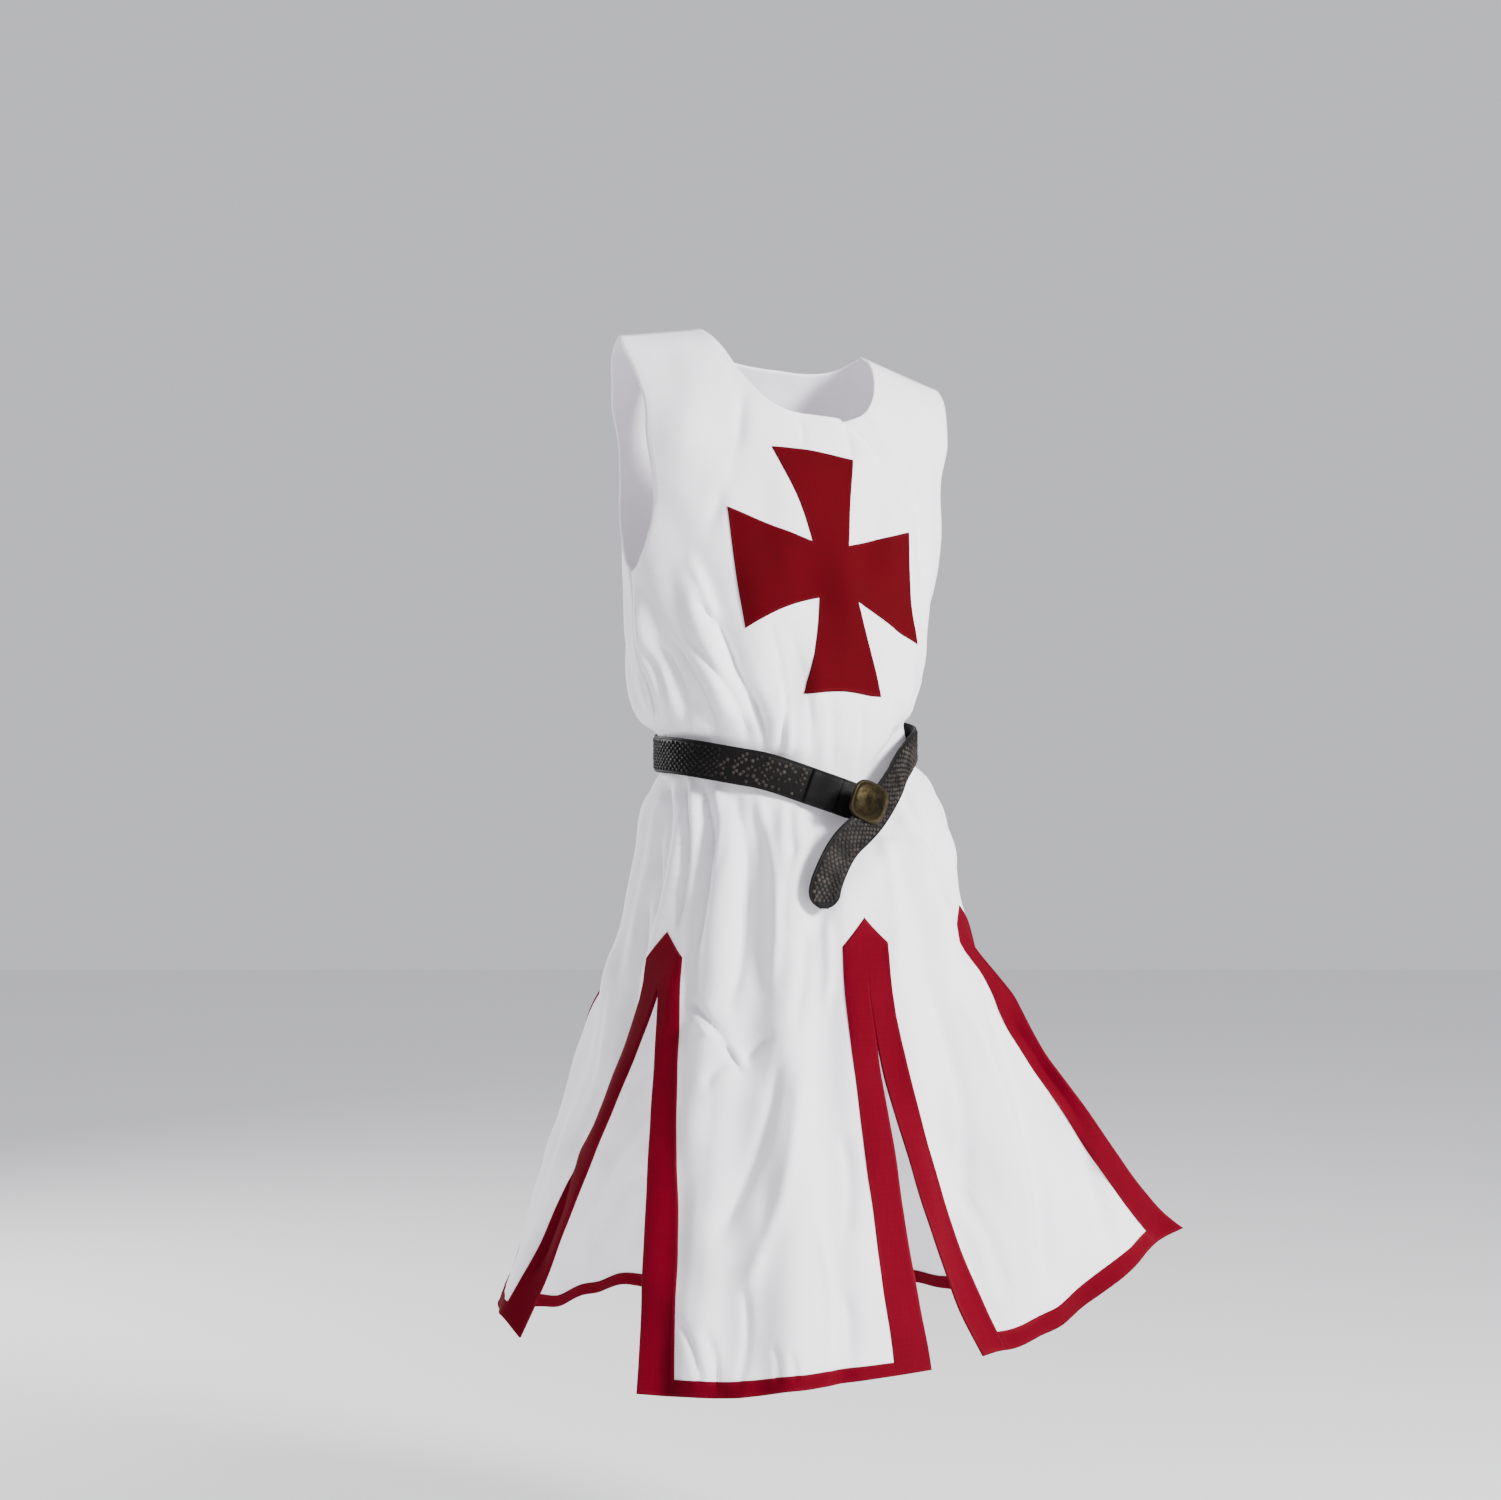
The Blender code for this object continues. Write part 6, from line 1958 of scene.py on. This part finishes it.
    def half(self, where: Array) -> Array:
        """Half width at running lengths, narrower down the tail and rounded at the tip."""
        left = self.run(self.frames)[-1] - where
        tip = np.clip(left / self.tip, 0.0, 1.0)
        width = self.tail_width + (self.width - self.tail_width) * ease(left / self.tail_length - 0.4)
        return width / 2 * np.maximum(np.sqrt(1 - (1 - tip) ** 2), 0.28)

    def solid(self, name: str, frames: list[Array], halves: Array, low: float, high: float) -> Object:
        """Closed strap with rounded edges and a pressed line beside each.

        Args:
            name: Name of the object.
            frames: Middle points, outward and width directions.
            halves: Half width at each frame.
            low: Height of the inner face over the frames.
            high: Height of the outer face.

        Returns:
            The object.
        """
        edge = np.array([1.0, 0.985, 0.95, 0.90, 0.865, 0.845, 0.82, 0.6, 0.3, 0.0])
        depth = min(high - low, 0.0024)
        drop = np.array([0.62, 0.30, 0.10, 0.02, 0.12, 0.12, 0.0, -0.04, -0.06, -0.07]) * depth
        across = np.concatenate([edge, -edge[-2::-1]])
        outer = high - np.concatenate([drop, drop[-2::-1]])
        under = np.array([-1.0, -0.97, -0.5, 0.0, 0.5, 0.97, 1.0])
        inner = low + np.array([0.30, 0.05, 0.0, 0.0, 0.0, 0.05, 0.30]) * depth
        u, out = np.concatenate([across, under]), np.concatenate([outer, inner])
        middle, outward, wide = frames
        rings = (
            middle[:, None]
            + wide[:, None] * (u[None] * halves[:, None])[..., None]
            + outward[:, None] * out[None, :, None]
        )
        count, size = rings.shape[:2]
        ends = [list(range(size))[::-1], list(range((count - 1) * size, count * size))]
        faces = turned(closed_quads(count, size)).tolist() + ends
        run = self.run(frames)
        flat = np.stack([np.repeat(run, size), (u[None] * halves[:, None]).ravel()], axis=1)
        worn = np.concatenate([np.clip((np.abs(across) - 0.9) * 9, 0, 1), np.full(len(under), 0.2)])
        marks = {"edge": np.tile(worn, count)}
        obj = make_mesh(name, rings.reshape(-1, 3), faces, flat, marks)
        point_outwards(obj)
        return obj

    def strap(self) -> Object:
        """The strap itself."""
        end = self.run(self.frames)[-1]
        body = np.linspace(0, end - self.tip, round((end - self.tip) / self.fine))
        tip = end - self.tip * (1 - np.sin(np.linspace(0, math.pi / 2, 12)))
        where = np.concatenate([body, tip[1:]])
        return self.solid("belt", self.at(where), self.half(where), 0.0, self.thick)

    def turned_end(self) -> Object:
        """The plain turned end beside the clasp."""
        where = np.linspace(0, 0.25, 400)
        middle = self.at(where)[0]
        angle, _ = self.figure.around(middle)
        picks = np.interp(np.linspace(*self.tab_angles, 14), angle[::-1], where[::-1])
        base = self.thick + self.gap
        half = np.full(len(picks), self.width / 2 - 0.0004)
        half[0] *= 0.94
        return self.solid("belt_end_loop", self.at(picks), half, base, base + self.tab_thick)

    def pebbles(self) -> list[Rows]:
        """Places of the embossed pebbles: staggered rows along the strap, none under the turned end.

        Returns:
            Points, outward directions and directions along the strap, first of the pebbles of the front and
            the hanging end, rubbed and painted as lit, then of the others, painted in shade.
        """
        end = self.run(self.frames)[-1]
        where = np.arange(0.004, end - 0.005, self.pitch / 2)
        rng = np.random.default_rng(self.seed)
        sets: list[list[list[Array]]] = [[[], [], []], [[], [], []]]
        for k, spot in enumerate(where):
            frame = self.at(np.array([spot]))
            half = float(self.half(np.array([spot]))[0])
            angle = float(self.figure.around(frame[0])[0][0])
            if spot < self.tab_reach and angle > self.tab_angles[0] - 3:
                continue
            # Lighter set for the front, rubbed and painted as lit; darker set round the side and back,
            # painted shade
            found = sets[0 if self.rubbed_and_lit_from < angle < self.rubbed_and_lit_to else 1]
            shares = (np.arange(self.lines) * 2 + (k % 2) - self.lines + 0.5) / self.lines * self.spread
            for share in shares[np.abs(shares) < self.spread]:
                jitter = rng.uniform(-self.jitter, self.jitter, 2)
                if found is sets[0] and angle < self.tab_angles[0] and rng.random() < self.worn_away:
                    continue
                across = share * half + jitter[0]
                along = np.cross(frame[2][0], frame[1][0])
                point = frame[0][0] + frame[2][0] * across + along * jitter[1]
                found[0].append(point + frame[1][0] * (self.thick + 0.0001))
                found[1].append(frame[1][0])
                found[2].append(along)
        return [tuple(np.array(part) for part in found) for found in sets]


def point_outwards(obj: Object) -> None:
    """Turns a closed mesh's faces outwards, by the sign of its volume."""
    mesh = obj.data
    mesh.calc_loop_triangles()
    points = np.array([v.co for v in mesh.vertices])
    corners = np.array([t.vertices for t in mesh.loop_triangles])
    a, b, c = (points[corners[:, k]] for k in range(3))
    if np.sum(a * np.cross(b, c)) < 0:
        mesh.flip_normals()


@dataclass
class Clasp:
    """The domed clasp plate over the place where the strap crosses itself."""

    turn: float = 34.0
    x: float = 0.068
    y: float = -0.106
    z: float = -0.4967
    half: tuple[float, float] = (0.0230, 0.0208)
    squareness: float = 3.2
    tilt: float = 22.0
    gap: float = 0.0004
    profile: tuple[tuple[float, float], ...] = (
        (0.0, 0.0050),
        (0.34, 0.0047),
        (0.62, 0.0037),
        (0.80, 0.0027),
        (0.87, 0.0034),
        (0.92, 0.0037),
        (0.96, 0.0034),
        (1.0, 0.0024),
    )

    def plate(self) -> Object:
        """Builds the plate on the same axes as its solid."""
        turn, lean = math.radians(self.turn), math.radians(self.tilt)
        outward = np.array([math.sin(turn), -math.cos(turn), 0.0])
        level = np.cross(np.array([0.0, 0.0, 1.0]), outward)
        right = level * math.cos(lean) - np.array([0.0, 0.0, math.sin(lean)])
        up = np.cross(outward, right)
        corners = np.array([v.co for v in NODES["belt_strap"].data.vertices])
        off = corners - np.array([self.x, self.y, self.z])
        reach = self.half[0] + 0.012
        near = (np.abs(off @ right) < reach) & (np.abs(off @ up) < reach) & (np.abs(off @ outward) < 0.05)
        rest = (corners[near] @ outward).max() + self.gap
        base = np.array([self.x, (rest - self.x * outward[0]) / outward[1], self.z])
        shares = np.concatenate([np.linspace(0.02, 0.80, 16), np.linspace(0.82, 1.0, 12)])
        table = np.array(self.profile)
        heights = smooth(shares, table[:, 0], table[:, 1])
        shares = np.concatenate([shares, [1.0, 1.0, 0.985]])
        heights = np.concatenate([heights, [0.0016, 0.0006, 0.0]])
        turns = np.linspace(0, 2 * math.pi, 96, endpoint=False)
        power = self.squareness
        size = (np.abs(np.cos(turns)) ** power + np.abs(np.sin(turns)) ** power) ** (-1 / power)
        across = (np.cos(turns) * size)[None] * shares[:, None] * self.half[0]
        tall = (np.sin(turns) * size)[None] * shares[:, None] * self.half[1]
        points = base + across[..., None] * right + tall[..., None] * up + heights[:, None, None] * outward
        count, around = across.shape
        ends = [list(range(around)), list(range((count - 1) * around, count * around))[::-1]]
        faces = closed_quads(count, around).tolist() + ends
        rim = np.clip((shares - 0.80) / 0.08, 0, 1) * np.clip((1.02 - shares) / 0.03, 0, 1)
        flat = np.stack([across.ravel(), tall.ravel()], axis=1)
        marks = {"edge": np.repeat(rim, around)}
        obj = make_mesh("clasp", points.reshape(-1, 3), faces, flat, marks)
        point_outwards(obj)
        return obj


def dress(obj: Object, material: Material, slot: Slot, *nodes: str) -> Object:
    """Gives a finished piece its material, its ride and the nodes it stands for.

    Args:
        obj: The piece.
        material: Its finish.
        slot: Its slot in the record; not used.
        nodes: The nodes it replaces.

    Returns:
        The piece.
    """
    obj.data.materials.clear()
    obj.data.materials.append(material)
    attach(obj, BODY)
    if nodes:
        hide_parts(*nodes)
    LOG.info("%s: %d faces", obj.name, len(obj.data.polygons))
    return obj


@dataclass
class Stage:
    """Floor, soft lights and the camera at the photograph's viewing angle."""

    floor_z: float = -1.45
    eye: tuple[float, float, float] = (-0.0543, -2.8, -0.443)
    lens: float = 61.8
    sensor: float = 36.0

    def build(self) -> None:
        """Sets them all up."""
        self.floor()
        self.light("key", (2.45, -2.15, 0.75), (0.0, 0.0, -0.60), 0.8, 330.0)
        self.light("fill", (-1.6, -3.0, -0.2), (0.0, 0.0, -0.6), 1.6, 12.0)
        self.light("behind", (-2.6, 1.9, 0.5), (0.0, 0.0, -0.6), 0.9, 110.0)
        world = bpy.data.worlds.new("studio")
        bpy.context.scene.world = world
        world.use_nodes = True
        back = world.node_tree.nodes["Background"]
        back.inputs["Color"].default_value = (0.945, 0.945, 1.0, 1.0)
        back.inputs["Strength"].default_value = 0.72
        data = bpy.data.cameras.new("camera")
        data.lens, data.sensor_width = self.lens, self.sensor
        data.clip_start, data.clip_end = 0.05, 60.0
        camera = linked("camera", data)
        camera.location = self.eye
        camera.rotation_euler = (math.radians(90), 0.0, 0.0)
        bpy.context.scene.camera = camera

    def floor(self) -> None:
        """A plain pale floor."""
        size = 9.0
        corners = np.array([(-size, -size), (size, -size), (size, size), (-size, size)])
        points = np.hstack([corners, np.full((4, 1), self.floor_z)])
        obj = make_mesh("floor", points, [[0, 1, 2, 3]], corners)
        made = bpy.data.materials.new("pale_floor")
        made.use_nodes = True
        shader = made.node_tree.nodes["Principled BSDF"]
        shader.inputs["Base Color"].default_value = (0.86, 0.86, 0.87, 1.0)
        shader.inputs["Roughness"].default_value = 0.85
        obj.data.materials.append(made)

    def light(
        self, name: str, place: Sequence[float], aim: Sequence[float], size: float, power: float
    ) -> None:
        """A soft square light aimed at a point.

        Args:
            name: Its name.
            place: Where it stands.
            aim: The point it faces.
            size: Length of its side.
            power: Its power in watts.
        """
        data = bpy.data.lights.new(name, "AREA")
        data.size, data.energy = size, power
        obj = linked(name, data)
        obj.location = place
        direction = Vector(aim) - Vector(place)
        obj.rotation_euler = direction.to_track_quat("-Z", "Y").to_euler()


def build_cloth(cloth: Cloth, trims: Trims) -> None:
    """Args:
        cloth: The folded cloth.
        trims: The maker of the red pieces.
    """
    white = WovenCloth("white_weave", 0.82, (0.90, 0.87, 0.90), (0.84, 0.81, 0.86)).make()
    trim = {"sheen": 0.0, "worn": 0.2}
    red = WovenCloth("red_weave", 0.9, (0.112, 0.0003, 0.0070), (0.080, 0.0002, 0.0050), **trim).make()
    deep = WovenCloth("cross_weave", 0.9, (0.068, 0.0002, 0.0027), (0.050, 0.0002, 0.0020), **trim).make()
    thread = WovenCloth("red_thread", 0.7, (0.13, 0.0006, 0.011), (0.09, 0.0004, 0.008), sheen=0.0).make()
    pale = WovenCloth("white_thread", 0.7, (0.84, 0.83, 0.85), (0.76, 0.75, 0.79), sheen=0.05).make()
    front = dress(cloth.front().shell("front_cloth"), white, Slot.WHITE, "front_panel")
    back = dress(cloth.back().shell("back_cloth"), white, Slot.WHITE, "back_panel")
    cut = cloth.cut
    edges = {
        "slit_facing_right": (("right", -1), ("centre", 0), cut.slit_row),
        "slit_facing_left": (("centre", -1), ("left", 0), cut.slit_row),
        "side_facing_left": (("left", -1), ("back", 0), cut.side_row),
        "side_facing_right": (("back", -1), ("right", 0), cut.side_row),
    }
    stitching = Stitching(trims)
    over = trims.low + trims.wall + 0.00005
    for name, (first, second, split) in edges.items():
        patch = trims.facing(first, second, float(split))
        dress(patch.shell(name + "_cloth"), red, Slot.RED, name)
        rows = stitching.rows(stitching.facing_lines(first, second, float(split)), over)
        made = stitching.stitch.make(name + "_stitches", rows, thread)
        dress(made, thread, Slot.RED)
    for strip in ("right", "centre", "left", "back"):
        name = "hem_band_" + strip
        obj = trims.hem_band(strip, Side.OUTSIDE).shell(name + "_cloth")
        dress(obj, red, Slot.RED, name)
        rows = stitching.rows(stitching.hem_lines(strip), over)
        dress(stitching.stitch.make(name + "_stitches", rows, thread), thread, Slot.RED)
    turn_up = trims.hem_band("back", Side.INSIDE).shell("hem_turn_up_back_cloth")
    dress(turn_up, red, Slot.RED, "hem_turn_up_back")
    cross = Cross(trims)
    emblem = dress(cross.patch().shell("chest_cross_cloth"), deep, Slot.RED, "chest_cross")
    rows = stitching.rows(stitching.cross_lines(cross), over)
    seam = dress(stitching.stitch.make("chest_cross_stitches", rows, thread), thread, Slot.RED)
    rows = stitching.rows(stitching.edge_lines(), cloth.wall / 2 + cloth.hem_rise)
    edging = dress(stitching.stitch.make("edge_stitches", rows, pale), pale, Slot.WHITE)


def build_belt(figure: Figure) -> None:
    """Makes the belt and its clasp.

    Args:
        figure: The figure.
    """
    leather = BeltLeather(
        "belt_leather", 0.55, (0.0020, 0.0015, 0.0015), (0.007, 0.0055, 0.005), rub=0.10
    ).make()
    # The darker pebble finish is painted shade for the belt's side; the next one is rubbed and painted as
    # lit
    dark = BeltLeather(
        "belt_pebbles_dark", 0.5, (0.003, 0.0024, 0.0024), (0.018, 0.014, 0.012), rub=0.4
    ).make()
    pebble = BeltLeather(
        "belt_pebbles_rubbed", 0.55, (0.009, 0.0075, 0.0065), (0.044, 0.036, 0.031), rub=0.9
    ).make()
    bronze = AgedBronze(
        "aged_bronze", 0.48, (0.022, 0.0165, 0.0075), (0.008, 0.0065, 0.004), (0.032, 0.025, 0.014)
    ).make()
    belt = Belt(figure)
    dress(belt.strap(), leather, Slot.LEATHER, "belt_strap")
    dress(belt.turned_end(), leather, Slot.LEATHER, "belt_turned_end")
    beads = Scatter(0.0046, 0.0043, 0.0022, uneven=0.16, seed=7, segments=8, rings=5)
    # Front pebbles rubbed and painted as lit, the others in painted shade
    rubbed, unrubbed_painted_shade = belt.pebbles()
    dress(beads.make("belt_pebbles_rubbed", rubbed, pebble), pebble, Slot.LEATHER)
    dress(beads.make("belt_pebbles_dark", unrubbed_painted_shade, dark), dark, Slot.LEATHER)
    dress(Clasp().plate(), bronze, Slot.BRONZE, "clasp_plate")
    for slot in NODES["clasp_stud"].material_slots:
        slot.material = bronze


def main() -> None:
    """Loads the solids and builds every piece over them."""
    logging.basicConfig(level=logging.INFO, format="%(name)s: %(message)s")
    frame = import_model()
    NODES.update(frame["nodes"])
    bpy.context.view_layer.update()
    figure, cut = Figure(), Cut()
    cloth = Cloth(figure, cut, Folds(figure))
    build_cloth(cloth, Trims(cloth))
    build_belt(figure)
    Stage().build()


if __name__ == "__main__":
    main()
